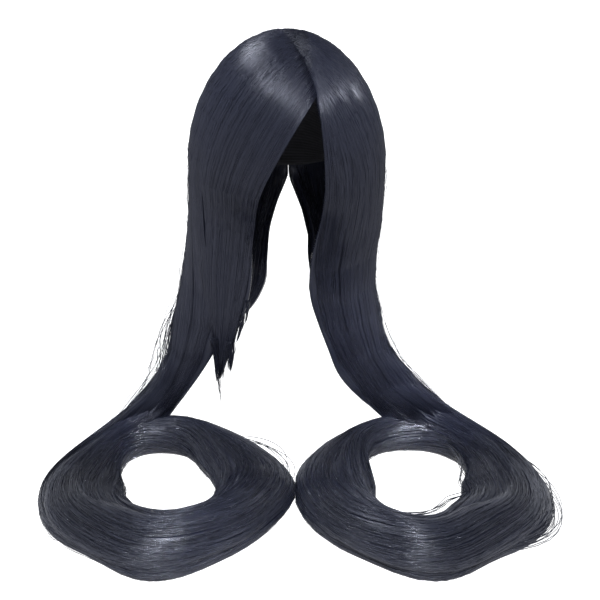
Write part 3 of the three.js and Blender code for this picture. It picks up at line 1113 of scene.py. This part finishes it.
    def stray(self, rng: np.random.Generator, count: int, steps: int) -> Surface:
        """Lays loose hairs round the outside and the eye.

        Each is an arc at some height h, which bows by a half wave from the pile's side. That side is the
        half width times sqrt(1 - h²/H²) away from its middle.

        Args:
            rng: Random numbers.
            count: Number of hairs besides those of the loops.
            steps: Points of each hair.

        Returns:
            The hairs.
        """
        loops = np.repeat(np.array(self.loops, dtype=float), self.loop_hairs, axis=0)
        at, wide, out, up = np.split(loops, 4, axis=1)
        one, extra = (count, 1), (len(loops), 1)
        share = np.linspace(0.0, 1.0, steps)[None]
        middle = np.concatenate([rng.normal(self.fray_deg, 80.0, one), at + rng.normal(0.0, 4.0, extra)])
        span = np.concatenate([rng.uniform(25.0, 75.0, one), wide])
        bow = np.concatenate([rng.gamma(1.1, 1.4, one), np.abs(out) * rng.uniform(0.35, 1.0, extra)])
        inside = np.concatenate([rng.uniform(0.0, 1.0, one) < INNER_SHARE, out < 0])
        height = np.concatenate([rng.uniform(-13.0, 6.0, one), up + rng.uniform(-3.0, 3.0, extra)])
        degrees = middle + span * (share - 0.5)
        radius, half = self.ring(degrees)
        side = half * np.sqrt(1.0 - (height / COIL_HALF_HEIGHT) ** 2) - SEATED
        size = {
            "radius": radius,
            "half_width": side + bow * np.sin(math.pi * share),
            "half_height": 0.0,
            "z": COIL_BASE_Z + height + np.zeros_like(share),
        }
        paths = self.oval(degrees, np.where(inside, math.pi, 0.0), size)
        thick = np.where(np.arange(len(paths)) < count, FINE_RADIUS, LOOP_RADIUS)
        return strands(paths, thick, UP, rng.uniform(*SHADES, len(paths)))

    def dress(self, form: bpy.types.Material, strand: bpy.types.Material) -> None:
        """Builds the coil and gives it its finishes.

        Args:
            form: Finish of the form under the strands.
            strand: Finish of the strands.
        """
        rng = np.random.default_rng(self.seed)
        fibres = [self.wind(rng), self.stray(rng, *self.strays)]
        settle(mesh_object(f"{self.name}_form", *self.base()), "hair", form, self.name)
        settle(mesh_object(f"{self.name}_strands", *fibres), "hair", strand)


# Hair over the cap and its falls

# Cells of the form across a lock and down the dome and the fall, and its strand coordinate along
LOCK_CELLS = 8
DOME_CELLS = 23
FALL_CELLS = 43
FORM_LONG = 0.5

# Rounds of easing, waves along a strand, and pull of the strands that land on a coil
EASE_ROUNDS = 4
WAVER = 2.2
LANDING_PULL = 1.2

# Share of loose hairs that stand low down, how deep their ends sit, and where the outer edge ends below 1
LOW_SHARE = 0.6
STRAY_SUNK = 0.5
EDGE_REACH = 0.9


def on_dome(way: Array) -> Array:
    """Finds where directions from the dome's centre meet the outside of the hair."""
    half = np.where(way[..., 1:2] < 0, DOME_HALF, np.array([DOME_HALF[0], DOME_BACK, DOME_HALF[2]]))
    return DOME_CENTRE + way / np.linalg.norm(way / half, axis=-1, keepdims=True)


def parting_way(share: Array, side: int) -> Array:
    """Finds the directions from the dome's centre to the parting.

    Its x falls off as (1 - share) to the power of its curl, its y runs evenly, and its z lies on the dome.

    Args:
        share: Place on the parting, from 0 at the hairline to 1 behind the whorl.
        side: -1 for the hair on its left, 1 for the hair on its right.

    Returns:
        The directions.
    """
    x = PARTING_FRONT[0] * np.maximum(1.0 - share, 0.0) ** PARTING_CURL + side * GAP
    y = PARTING_FRONT[1] + (PARTING_BACK_Y - PARTING_FRONT[1]) * share - DOME_CENTRE[1]
    depth = np.where(y < 0, DOME_HALF[1], DOME_BACK)
    z = DOME_HALF[2] * np.sqrt(1.0 - (x / DOME_HALF[0]) ** 2 - (y / depth) ** 2)
    return unit(np.stack([x, y, z], axis=-1))


def turn_between(start: Array, end: Array, share: Array) -> Array:
    """Turns one direction towards another by a share of the angle a between them.

    The result is (sin((1 - share) a) start + sin(share a) end) / sin a.

    Args:
        start: First directions.
        end: Last directions.
        share: Share of the angle.

    Returns:
        The directions between them.
    """
    angle = np.arccos(np.clip((start * end).sum(axis=-1, keepdims=True), -1.0, 1.0))
    share = column(share)
    return (np.sin((1.0 - share) * angle) * start + np.sin(share * angle) * end) / np.sin(angle)


def ease(paths: Array, facing: Array) -> Array:
    """Rounds the bends of paths within the surface that they lie on.

    A point moves halfway to the middle of its neighbours, less the part of the move along the facing.

    Args:
        paths: Points, paths by steps.
        facing: Direction that the surface faces at each point.

    Returns:
        The paths, with the same ends.
    """
    move = np.zeros_like(paths)
    move[:, 1:-1] = (paths[:, 2:] + paths[:, :-2] - 2 * paths[:, 1:-1]) / 4
    return paths + move - (move * facing).sum(axis=-1, keepdims=True) * facing


def bridge(start: Array, leave: Array, end: Array, arrive: Array, steps: int) -> Array:
    """Draws curves between points, as cubics that leave and arrive in given directions.

    Args:
        start: First points.
        leave: Directions there, as long as their pull.
        end: Last points.
        arrive: Directions there, as long as their pull.
        steps: Points of each curve.

    Returns:
        Points, curves by steps.
    """
    t = np.linspace(0.0, 1.0, steps)[None, :, None]
    return cubic(start[:, None], leave[:, None], end[:, None], arrive[:, None], t)


@dataclass
class HairMass:
    """A mass of hair that leaves the parting, lies over the dome and falls to its coil.

    A point is given by two numbers: across, from 0 at the front edge to 1 at the back edge, and along, from 0
    at the parting through 1 at the widest level of the dome to 2 at the lower end of the fall.

    Attributes:
        name: Name of the node it stands for.
        side: Side that it falls on.
        sections: Table of its sections.
        parting: First and last share of the parting that it grows from.
        locks: Number of locks across it.
        count: Number of strands.
        seed: Seed of its random numbers.
        coil: Coil that it falls to, if it does.
        lean: How far its lower end leans forwards for each millimetre outwards.
        wide: Strand coordinate across the whole mass, in metres.
        relief: Depth of the grooves between its locks.
        overlap: How far past its back edge its strands lie, as a share of its width.
        fray: How far its loose hairs stand off low down.
        edge: Places across of its outer edge, at the widest level and low down.
        strays: Number of loose hairs, and points of each.
        landers: Number of strands that it sends onto its coil, and points of each.
        liners: Number of strands on its inner side, and points of each.
    """

    name: str
    side: Side
    sections: Table
    parting: tuple[float, float]
    locks: int
    count: int
    seed: int
    coil: Coil | None = None
    lean: float = 0.0
    wide: float = 0.26
    relief: float = 1.4
    overlap: float = 0.0
    fray: float = 2.2
    edge: tuple[float, float] = (0.4, 0.52)
    strays: tuple[int, int] = (100, 12)
    landers: tuple[int, int] = (480, 13)
    liners: tuple[int, int] = (320, 10)

    def span(self) -> tuple[float, float]:
        """Returns the heights of the first and the last section."""
        return self.sections.rows[0][0], self.sections.rows[-1][0]

    def section_point(self, row: dict[str, Array], across: Array) -> Array:
        """Finds points of an elliptic arc, by the angle between the row's front and back angles.

        Args:
            row: Columns of the section table.
            across: Places from the front edge to the back edge.

        Returns:
            Points on the outside.
        """
        angle = np.radians(mix(row["front_deg"], row["back_deg"], across))
        depth = np.where(angle < 0, row["front_depth"], row["back_depth"])
        x = np.maximum(row["centre_x"] + row["half_width"] * np.cos(angle), GAP)
        lean = self.lean * fade(*LANDING, row["z"])
        y = row["centre_y"] + depth * np.sin(angle) - lean * (x - row["centre_x"])
        return np.stack([self.side.value * x, y, np.broadcast_to(row["z"], x.shape)], axis=-1)

    def pair(self, across: Array, along: Array) -> tuple[Array, Array]:
        """Finds the outer and the inner points of the mass.

        Args:
            across: Places from the front edge to the back edge.
            along: Places down the hair.

        Returns:
            Outer and inner points.
        """
        across, along = np.broadcast_arrays(across, along)
        top, bottom = self.span()
        row = self.sections.at(mix(top, bottom, np.clip(along - 1.0, 0.0, 1.0)))
        first = self.sections.at(np.full(along.shape, top))
        start = parting_way(mix(self.parting[0], self.parting[1], across), self.side.value)
        end = unit(self.section_point(first, across) - DOME_CENTRE)
        dome = on_dome(turn_between(start, end, np.minimum(along, 1.0)))
        outer = np.where(column(along < 1.0), dome, self.section_point(row, across))
        middle = np.stack([self.side.value * row["centre_x"], row["centre_y"], outer[..., 2]], axis=-1)
        hung = outer + unit(middle - outer) * column(row["thick"])
        z = outer[..., 2]
        inner = mix(hung, on_fit(outer, CAP_WALL + 2 * GAP), column(fade(*HUG, z)))
        thin = fade(*HAIRLINE, z) * (1.0 - fade(*FRONT_EDGE, across))
        if self.coil:
            thin = np.maximum(thin, fade(*LOW_BACK, z) * fade(*BACK_EDGE, across))
        return outer, mix(inner, outer, column(EDGE_LOSS * thin))

    def groove(self, across: Array, along: Array) -> Array:
        """Finds how far the outside sinks between locks: a sum of waves across the hair that drift along it.

        Args:
            across: Places from the front edge to the back edge.
            along: Places down the hair.

        Returns:
            Depths.
        """
        rng = np.random.default_rng(self.seed)
        depth = np.zeros(np.broadcast(across, along).shape)
        uneven = across
        for size, times, seeds in UNEVEN_WAVES:
            uneven = uneven + size * np.sin(times * across + seeds * self.seed)
        for times, size in LOCK_WAVES:
            phase, drift = rng.uniform(0.0, math.tau), rng.uniform(-1.0, 1.0)
            wave = np.cos(math.tau * self.locks * times * (uneven + LOCK_DRIFT * drift * along) + phase)
            depth += size * (0.5 - 0.5 * wave)
        return self.relief * depth * fade(*GROOVED, along)

    def place(self, across: Array, along: Array, lift: Array) -> tuple[Array, Array]:
        """Finds points over the grooved outside.

        Args:
            across: Places from the front edge to the back edge.
            along: Places down the hair.
            lift: Height over the outside.

        Returns:
            The points, and the direction that the hair faces there.
        """
        outer, inner = self.pair(across, along)
        facing = unit(outer - inner)
        return outer + facing * column(lift - self.groove(across, along)), facing

    def landing(self, across: Array, inside: bool = False) -> Array:
        """Finds how far along the hair meets its coil, by steps down each line of hair.

        Args:
            across: Places from the front edge to the back edge.
            inside: Whether the inner side is meant.

        Returns:
            The first place along that is under the coil's top, or 2 where there is none.
        """
        if not self.coil:
            return np.full(across.shape, 2.0)
        along = np.linspace(*SEARCH)
        points = self.pair(across[..., None], along)[int(inside)]
        under = points[..., 2] < self.coil.height(points)
        return np.where(under.any(axis=-1), along[under.argmax(axis=-1)], 2.0)

    def base(self) -> Surface:
        """Builds the form under the strands, down to the coil.

        Returns:
            The closed form.
        """
        across = np.linspace(0.0, 1.0, LOCK_CELLS * self.locks + 1)
        on_top = np.linspace(0.0, 1.0, DOME_CELLS + 1)[:, None] + np.zeros_like(across)
        down = np.linspace(0.0, 1.0, FALL_CELLS + 1)[1:, None]
        out = np.concatenate([on_top, mix(1.0, self.landing(across), down)])
        into = np.concatenate([on_top, mix(1.0, self.landing(across, True), down)])
        outer = self.place(across, out, np.full(out.shape, -FORM_INSET))[0]
        return wall(outer, self.pair(across, into)[1], self.wide, FORM_LONG)

    def ends(self, rng: np.random.Generator, across: Array) -> Array:
        """Draws how far along each strand ends."""
        return self.landing(across) - rng.uniform(0.0, 0.02, across.shape)

    def comb(self, rng: np.random.Generator) -> Surface:
        """Lays strands down the mass: each keeps its place across, gathers to its lock and wavers a little.

        Args:
            rng: Random numbers.

        Returns:
            The strands.
        """
        one = (self.count, 1)
        beside = rng.uniform(0.0, 1.0, self.count)
        across = (np.arange(self.count) + beside) / self.count * (1.0 + self.overlap)
        start = rng.uniform(-0.06, 0.03, one)
        down = mix(1.0, self.ends(rng, across)[:, None], np.array(FALL_STEPS)[None])
        along = np.concatenate([mix(start, 1.0, np.array(DOME_STEPS)[None]), down], axis=1)
        core = (np.floor(across * self.locks) + rng.uniform(0.3, 0.7, self.count)) / self.locks
        gather = rng.uniform(0.0, 0.35, one) * fade(0.8, 2.0, along)
        waver = rng.normal(0.0, 0.006, one) * fade(0.0, 1.0, along)
        phase = rng.uniform(0.0, PHASES, one)
        path = mix(across[:, None], core[:, None], gather) + waver * np.sin(WAVER * along + phase)
        lift = rng.uniform(-0.7, 0.3, one)
        points, facing = self.place(np.clip(path, 0.0, 1.0 + self.overlap), along, lift)
        for _ in range(EASE_ROUNDS):
            points = ease(points, facing)
        return draw_strands(rng, points, facing)

    def stray(self, rng: np.random.Generator, count: int, steps: int) -> Surface:
        """Lets loose hairs stand off the outer edge.

        Each bows away from the hair by a half wave and comes back to it.

        Args:
            rng: Random numbers.
            count: Number of hairs, most of them low down.
            steps: Points of each hair.

        Returns:
            The hairs.
        """
        one = (count, 1)
        share = np.linspace(0.0, 1.0, steps)[None]
        low = rng.uniform(0.0, 1.0, one) < LOW_SHARE
        aside = rng.normal(0.0, 0.05, one)
        begin = np.where(low, rng.uniform(1.48, 1.68, one), rng.uniform(0.75, 1.4, one))
        length = np.where(low, rng.uniform(0.3, 0.5, one), rng.uniform(0.12, 0.35, one))
        along = mix(begin, np.minimum(begin + length, self.landing(self.edge[1] + aside)), share)
        bow = rng.gamma(1.5, np.where(low, self.fray, 1.0)) * np.sin(math.pi * share)
        across = mix(*self.edge, (along - 1.0) / EDGE_REACH) + aside
        points, facing = self.place(np.clip(across, 0.0, 1.0), along, bow - STRAY_SUNK)
        thick = np.where(low[:, 0], LOW_RADIUS, FINE_RADIUS)
        return strands(points, thick, facing, rng.uniform(*SHADES, count))

    def land(self, rng: np.random.Generator, count: int, steps: int) -> Surface:
        """Carries strands from the fall onto its coil.

        Each is a cubic that leaves down the fall and arrives round the coil.

        Args:
            rng: Random numbers.
            count: Number of strands.
            steps: Points of each strand.

        Returns:
            The strands.
        """
        across = rng.uniform(0.0, 1.0, count)
        meet = self.landing(across)
        lift = rng.uniform(-0.3, 0.5, count)
        begin = meet - rng.uniform(0.05, 0.14, count)
        start, facing = self.place(across, begin, lift)
        ahead = self.place(across, begin + AHEAD, lift)[0]
        degrees, turn = self.coil.seat(self.place(across, meet, lift)[0])
        way = -self.side.value
        degrees = degrees + way * rng.uniform(14.0, 55.0, count)
        turn = turn + rng.normal(0.0, 0.15, count)
        end, after = self.coil.pile(degrees, turn, lift), self.coil.pile(degrees + way, turn, lift)
        pull = LANDING_PULL * np.linalg.norm(end - start, axis=-1, keepdims=True)
        paths = bridge(start, unit(ahead - start) * pull, end, unit(after - end) * pull, steps)
        paths[..., 2] = np.maximum(paths[..., 2], self.coil.height(paths) + lift[:, None])
        facing = mix(facing[:, None], UP, np.linspace(0.0, 1.0, steps)[None, :, None])
        return draw_strands(rng, paths, facing)

    def line(self, rng: np.random.Generator, count: int, steps: int) -> Surface:
        """Lays strands down the inner side, where it shows between the falls.

        Args:
            rng: Random numbers.
            count: Number of strands.
            steps: Points of each strand.

        Returns:
            The strands.
        """
        one = (count, 1)
        share = np.linspace(0.0, 1.0, steps)[None]
        across = rng.uniform(0.0, 1.0, one)
        begin = rng.uniform(0.95, 1.2, one)
        along = mix(begin, self.landing(across, True) - AHEAD, share)
        path = np.clip(across + 0.012 * np.sin(2.5 * along + PHASES * across), 0.0, 1.0)
        outer, inner = self.pair(path, along)
        facing = unit(inner - outer)
        lift = rng.uniform(-0.2, 0.6, one)
        return draw_strands(rng, inner + facing * column(lift), facing)

    def loose(self, rng: np.random.Generator) -> list[Surface]:
        """Builds the hairs and strands that aren't combed over the outside."""
        return [self.stray(rng, *self.strays), self.land(rng, *self.landers), self.line(rng, *self.liners)]

    def dress(self, form: bpy.types.Material, strand: bpy.types.Material) -> None:
        """Builds the mass and gives it its finishes.

        Args:
            form: Finish of the form under the strands.
            strand: Finish of the strands.
        """
        rng = np.random.default_rng(self.seed + 1)
        settle(mesh_object(f"{self.name}_form", self.base()), "hair", form, self.name)
        settle(mesh_object(f"{self.name}_strands", self.comb(rng)), "hair", strand)
        settle(mesh_object(f"{self.name}_loose", *self.loose(rng)), "hair", strand)


@dataclass
class Fringe(HairMass):
    """The side-swept fringe, whose strands end at different heights in pointed locks.

    Attributes:
        tips: Root x and z, tip x and z, depth y, half width and number of strands of each pointed end.
        tip_steps: Points of their strands.
        wisps: Number of wisps that hang past the lower end.
        feathers: Number of hairs in the wisps, and points of each.
    """

    tips: tuple[tuple[float, ...], ...] = (
        (-61, -300, -62, -338, -78, 5, 60),
        (-79, -300, -77, -359, -67, 6, 70),
        (-79, -340, -73, -391, -67, 1.2, 12),
        (-34, -140, -41, -196, -88, 5, 50),
        (-41, -251, -44, -280, -80, 3, 30),
        (-46, -265, -50, -291, -80, 3, 30),
        (-49, -276, -54, -303, -80, 3, 30),
    )
    tip_steps: int = 9
    wisps: int = 26
    feathers: tuple[int, int] = (260, 8)

    def ends(self, rng: np.random.Generator, across: Array) -> Array:
        """Draws how far along each strand ends, lock by lock.

        Args:
            rng: Random numbers.
            across: Place across of each strand.

        Returns:
            Places along.
        """
        lock = np.floor(across * self.locks).astype(int) % self.locks
        reach = rng.uniform(1.88, 1.98, self.locks)[lock]
        return np.minimum(reach + rng.normal(0.0, 0.035, across.shape), 2.0)

    def pointed(self, rng: np.random.Generator) -> Surface:
        """Fills the pointed ends with strands that draw together from root to tip.

        Args:
            rng: Random numbers.

        Returns:
            The strands.
        """
        share = np.linspace(0.0, 1.0, self.tip_steps)[None, :, None]
        bow = np.array([1.5, 0.0, 0.0]) * np.sin(math.pi * share)
        gather = 1.0 - 0.7 * share
        paths = []
        for root_x, root_z, tip_x, tip_z, y, half, count in self.tips:
            away = rng.normal(0.0, 0.5, (count, 1, 3)) * np.array([half, 2.5, 0.0])
            short = rng.uniform(0.45, 1.0, (count, 1, 1))
            root, tip = np.array([root_x, y, root_z]), np.array([tip_x, y, tip_z])
            paths.append(mix(root, tip, share * short) + away * gather + bow)
        return draw_strands(rng, np.concatenate(paths), FORWARDS, TIP_RADIUS)

    def feather(self, rng: np.random.Generator, count: int, steps: int) -> Surface:
        """Lets hairs run on past the lower end and the front edge, in wisps that hang straighter as they go.

        Args:
            rng: Random numbers.
            count: Number of hairs.
            steps: Points of each hair.

        Returns:
            The hairs.
        """
        wisp = rng.integers(0, self.wisps, count)
        across = rng.beta(0.7, 0.9, self.wisps)[wisp] + rng.normal(0.0, 0.012, count)
        begin = rng.uniform(1.55, 1.9, self.wisps)[wisp] + rng.normal(0.0, 0.02, count)
        across = np.clip(across, 0.0, 1.0)
        sunk = np.full(count, -0.3)
        start = self.place(across, begin, sunk)[0]
        ahead = unit(self.place(across, begin + AHEAD, sunk)[0] - start)
        length = column(rng.uniform(18.0, 52.0, self.wisps)[wisp] * rng.uniform(0.6, 1.0, count))
        down = rng.normal(0.0, 0.05, (count, 3)) - UP
        paths = bridge(start, ahead * length, start + (ahead + down) * length / 2, down, steps)
        return draw_strands(rng, paths, FORWARDS, WISP_RADIUS)

    def loose(self, rng: np.random.Generator) -> list[Surface]:
        """Builds the hairs that aren't combed over the outside, and the pointed ends."""
        return [self.pointed(rng), self.feather(rng, *self.feathers)]


# The room


@dataclass(frozen=True)
class Lamp:
    """A square softbox with a grid that keeps its light together.

    Attributes:
        turn: Degrees that it stands to the right of the camera.
        height: Its angle over the floor in degrees.
        strength: Light that it throws on the point it is aimed at, in watts per square metre.
        aim: That point, in millimetres.
        width: Width in metres.
        spread: Angle that the grid lets through, in degrees.
        distance: Distance from the point in metres.
    """

    turn: float
    height: float
    strength: float
    aim: tuple[float, float, float]
    width: float = 0.05
    spread: float = 7.0
    distance: float = 0.8

    def light(self) -> bpy.types.Light:
        """Makes the light: its power is the strength times the area, as a grid throws it straight on.

        Returns:
            The light.
        """
        light = bpy.data.lights.new("softbox", "AREA")
        light.size = self.width
        light.spread = math.radians(self.spread)
        light.energy = self.strength * self.width**2
        return light


@dataclass
class Studio:
    """A white floor, soft light and the camera.

    Attributes:
        camera: Place of the camera in metres.
        pitch: Degrees that it looks down.
        lens: Focal length in millimetres.
        sensor: Width of the picture in the camera, in millimetres.
        reach: Half the floor's width in metres.
        tint: Colour of all lights.
        ambient: Strength of the light from all round, near the floor.
        zenith: Its strength overhead.
        sky: Heights between which it changes, from 0 at the floor to 1 overhead.
        glow: Light that the floor gives of itself, so that it stays white far away.
        keys: Degrees to the right of the camera, degrees over the floor and strength of the key lights.
        key_spread: Their width in degrees.
        key_aim: Point that they look at, in millimetres.
        key_distance: Their distance from it in metres.
        lamps: Softboxes that bring out single locks.
    """

    camera: tuple[float, float, float] = (0.014, -0.95, 0.1115)
    pitch: float = 22.62
    lens: float = 54.18
    sensor: float = 36.0
    reach: float = 15.0
    tint: tuple[float, float, float] = (0.92, 0.95, 1.0)
    ambient: float = 1.5
    zenith: float = 0.35
    sky: tuple[float, float] = (0.2, 0.9)
    glow: float = 1.2
    keys: tuple[tuple[float, ...], ...] = ((-26.0, 57.5, 0.8), (-5.0, 57.5, 1.3), (16.0, 53.0, 0.9))
    key_spread: float = 5.0
    key_aim: tuple[float, float, float] = (0.0, 0.0, -100.0)
    key_distance: float = 2.0
    lamps: tuple[Lamp, ...] = (
        Lamp(50.0, 42.0, 1.8, (41.0, -78.0, -45.0), 0.08, 8.0),
        Lamp(76.0, 35.0, 0.9, (58.0, -57.0, -38.0), 0.08, 8.0),
        Lamp(90.0, 26.0, 1.0, (76.0, -38.0, -43.0), 0.08, 8.0),
        Lamp(-40.0, 57.0, 1.9, (-34.0, -62.0, -19.0), 0.07, 6.0),
        Lamp(-100.0, 62.0, 3.3, (-34.0, -45.0, -8.0), 0.34, 30.0),
        Lamp(20.0, 50.0, 3.2, (150.0, -66.0, -400.0), 0.1, 9.0),
        Lamp(-8.0, 54.0, 3.0, (158.0, -64.0, -398.0), 0.1, 9.0),
        Lamp(-30.0, 57.0, 3.8, (165.0, -62.0, -395.0), 0.1, 9.0),
        Lamp(-7.0, 57.0, 2.3, (-90.0, -285.0, -402.0), 0.1, 9.0),
        Lamp(8.0, 55.0, 1.8, (-74.0, -279.0, -402.0), 0.1, 9.0),
        Lamp(26.0, 50.0, 2.6, (-62.0, -268.0, -400.0), 0.1, 9.0),
        Lamp(-14.0, 57.0, 2.4, (106.0, -278.0, -402.0), 0.08, 8.0),
        Lamp(62.0, 35.0, 4.0, (-152.0, -95.0, -400.0), 0.08, 8.0),
        Lamp(38.0, 44.0, 3.0, (-145.0, -92.0, -398.0), 0.08, 8.0),
        Lamp(8.0, 12.0, 2.6, (58.0, -85.0, -275.0), 0.08, 8.0),
        Lamp(-4.0, 72.0, 2.0, (42.0, -190.0, -390.0), 0.1, 9.0),
        Lamp(20.0, 35.0, 4.0, (112.0, -45.0, -335.0), 0.12, 12.0),
    )

    def floor(self) -> None:
        """Makes the white floor."""
        corners = np.array([[-1, -1, 0], [1, -1, 0], [1, 1, 0], [-1, 1, 0]]) * self.reach
        corners[:, 2] = FLOOR_Z * MM
        mesh = bpy.data.meshes.new("floor")
        mesh.from_pydata(corners.tolist(), [], [(0, 1, 2, 3)])
        floor = add_object("floor", mesh)
        paint, _, shader = new_material("floor")
        fill(shader, {"Base Color": (0.25, 0.25, 0.25, 1.0), "Roughness": 0.9})
        fill(shader, {"Emission Color": (1.0, 1.0, 1.0, 1.0), "Emission Strength": self.glow})
        mesh.materials.append(paint)

    def lights(self) -> None:
        """Makes the light from all round, the key lights and the softboxes."""
        world = bpy.data.worlds.new("soft")
        world.use_nodes = True
        tree = world.node_tree
        around = tree.nodes["Background"]
        around.inputs["Color"].default_value = (*self.tint, 1.0)
        place = tree.nodes.new("ShaderNodeTexCoord")
        parts = tree.nodes.new("ShaderNodeSeparateXYZ")
        level = tree.nodes.new("ShaderNodeMapRange")
        fill(level, {"From Min": self.sky[0], "From Max": self.sky[1]})
        fill(level, {"To Min": self.ambient, "To Max": self.zenith})
        link(tree, place.outputs["Generated"], parts.inputs["Vector"])
        link(tree, parts.outputs["Z"], level.inputs["Value"])
        link(tree, level.outputs["Result"], around.inputs["Strength"])
        bpy.context.scene.world = world
        for turn, height, strength in self.keys:
            sun = bpy.data.lights.new("key", "SUN")
            sun.energy = strength
            sun.angle = math.radians(self.key_spread)
            self.hang(sun, turn, height, self.key_distance, self.key_aim)
        for lamp in self.lamps:
            self.hang(lamp.light(), lamp.turn, lamp.height, lamp.distance, lamp.aim)

    def hang(
        self, light: bpy.types.Light, turn: float, height: float, distance: float, aim: tuple[float, ...]
    ) -> None:
        """Hangs a light so that it points at a place.

        Args:
            light: The light.
            turn: Degrees that it stands to the right of the camera.
            height: Its angle over the floor in degrees.
            distance: Distance from the place in metres.
            aim: The place in millimetres.
        """
        light.color = self.tint
        holder = add_object(light.name, light)
        a, h = math.radians(turn), math.radians(height)
        way = np.array([math.sin(a) * math.cos(h), -math.cos(a) * math.cos(h), math.sin(h)])
        holder.location = np.array(aim) * MM + distance * way
        holder.rotation_euler = (math.pi / 2 - h, 0.0, a)
        holder.visible_camera = False

    def view(self) -> None:
        """Makes the camera, and shows colours as they are."""
        view = bpy.data.cameras.new("camera")
        view.lens = self.lens
        view.sensor_width = self.sensor
        eye = add_object("camera", view)
        eye.location = self.camera
        eye.rotation_euler = (math.radians(90.0 - self.pitch), 0.0, 0.0)
        bpy.context.scene.camera = eye
        bpy.context.scene.view_settings.view_transform = "Standard"


def main() -> None:
    """Builds the room and every piece of the wig."""
    logging.basicConfig(level=logging.INFO, format="%(name)s %(message)s")
    studio = Studio()
    studio.view()
    studio.floor()
    studio.lights()
    fibre = fibre_group()
    form = HairFinish("hair_form", anisotropy=0.7, relief=0.0003).material(fibre)
    strand = HairFinish("hair_strand").material(fibre)
    # The coils' strands are the same hair as the rest, with lighter dark and light colours: painted light,
    # brightening the coils as if more light fell on them.
    coil_painted_light = HairFinish(
        "coil_strand_painted_light", dark=(0.0075, 0.0084, 0.0142), light=(0.017, 0.019, 0.0305), specular=0.7
    ).material(fibre)
    left_coil = Coil(
        "left_coil", Side.LEFT, centre_x=-119.0, plan=LEFT_PLAN, start_deg=100.0, fray_deg=270.0,
        count=1000, seed=41, loops=LEFT_LOOPS,
    )
    right_coil = Coil(
        "right_coil", Side.RIGHT, centre_x=137.0, plan=RIGHT_PLAN, start_deg=80.0, fray_deg=330.0,
        count=1000, seed=51, loops=RIGHT_LOOPS,
    )
    fringe = Fringe(
        "fringe", Side.LEFT, FRINGE_SECTIONS, parting=(0.0, FRINGE_SHARE), locks=5, count=900, seed=11,
        wide=0.09, relief=1.0, overlap=0.1,
    )
    left_hair = HairMass(
        "left_hair", Side.LEFT, LEFT_SECTIONS, parting=(FRINGE_SHARE, 1.0), locks=7, count=1700, seed=21,
        coil=left_coil, lean=0.5, fray=4.0, edge=(0.22, 0.5),
    )
    right_hair = HairMass(
        "right_hair", Side.RIGHT, RIGHT_SECTIONS, parting=(0.0, 1.0), locks=9, count=1950, seed=31,
        coil=right_coil, lean=0.27,
    )
    Cap().dress(NetFinish().material())
    for hair in (fringe, left_hair, right_hair):
        hair.dress(form, strand)
    for coil in (left_coil, right_coil):
        coil.dress(form, coil_painted_light)


if __name__ == "__main__":
    main()
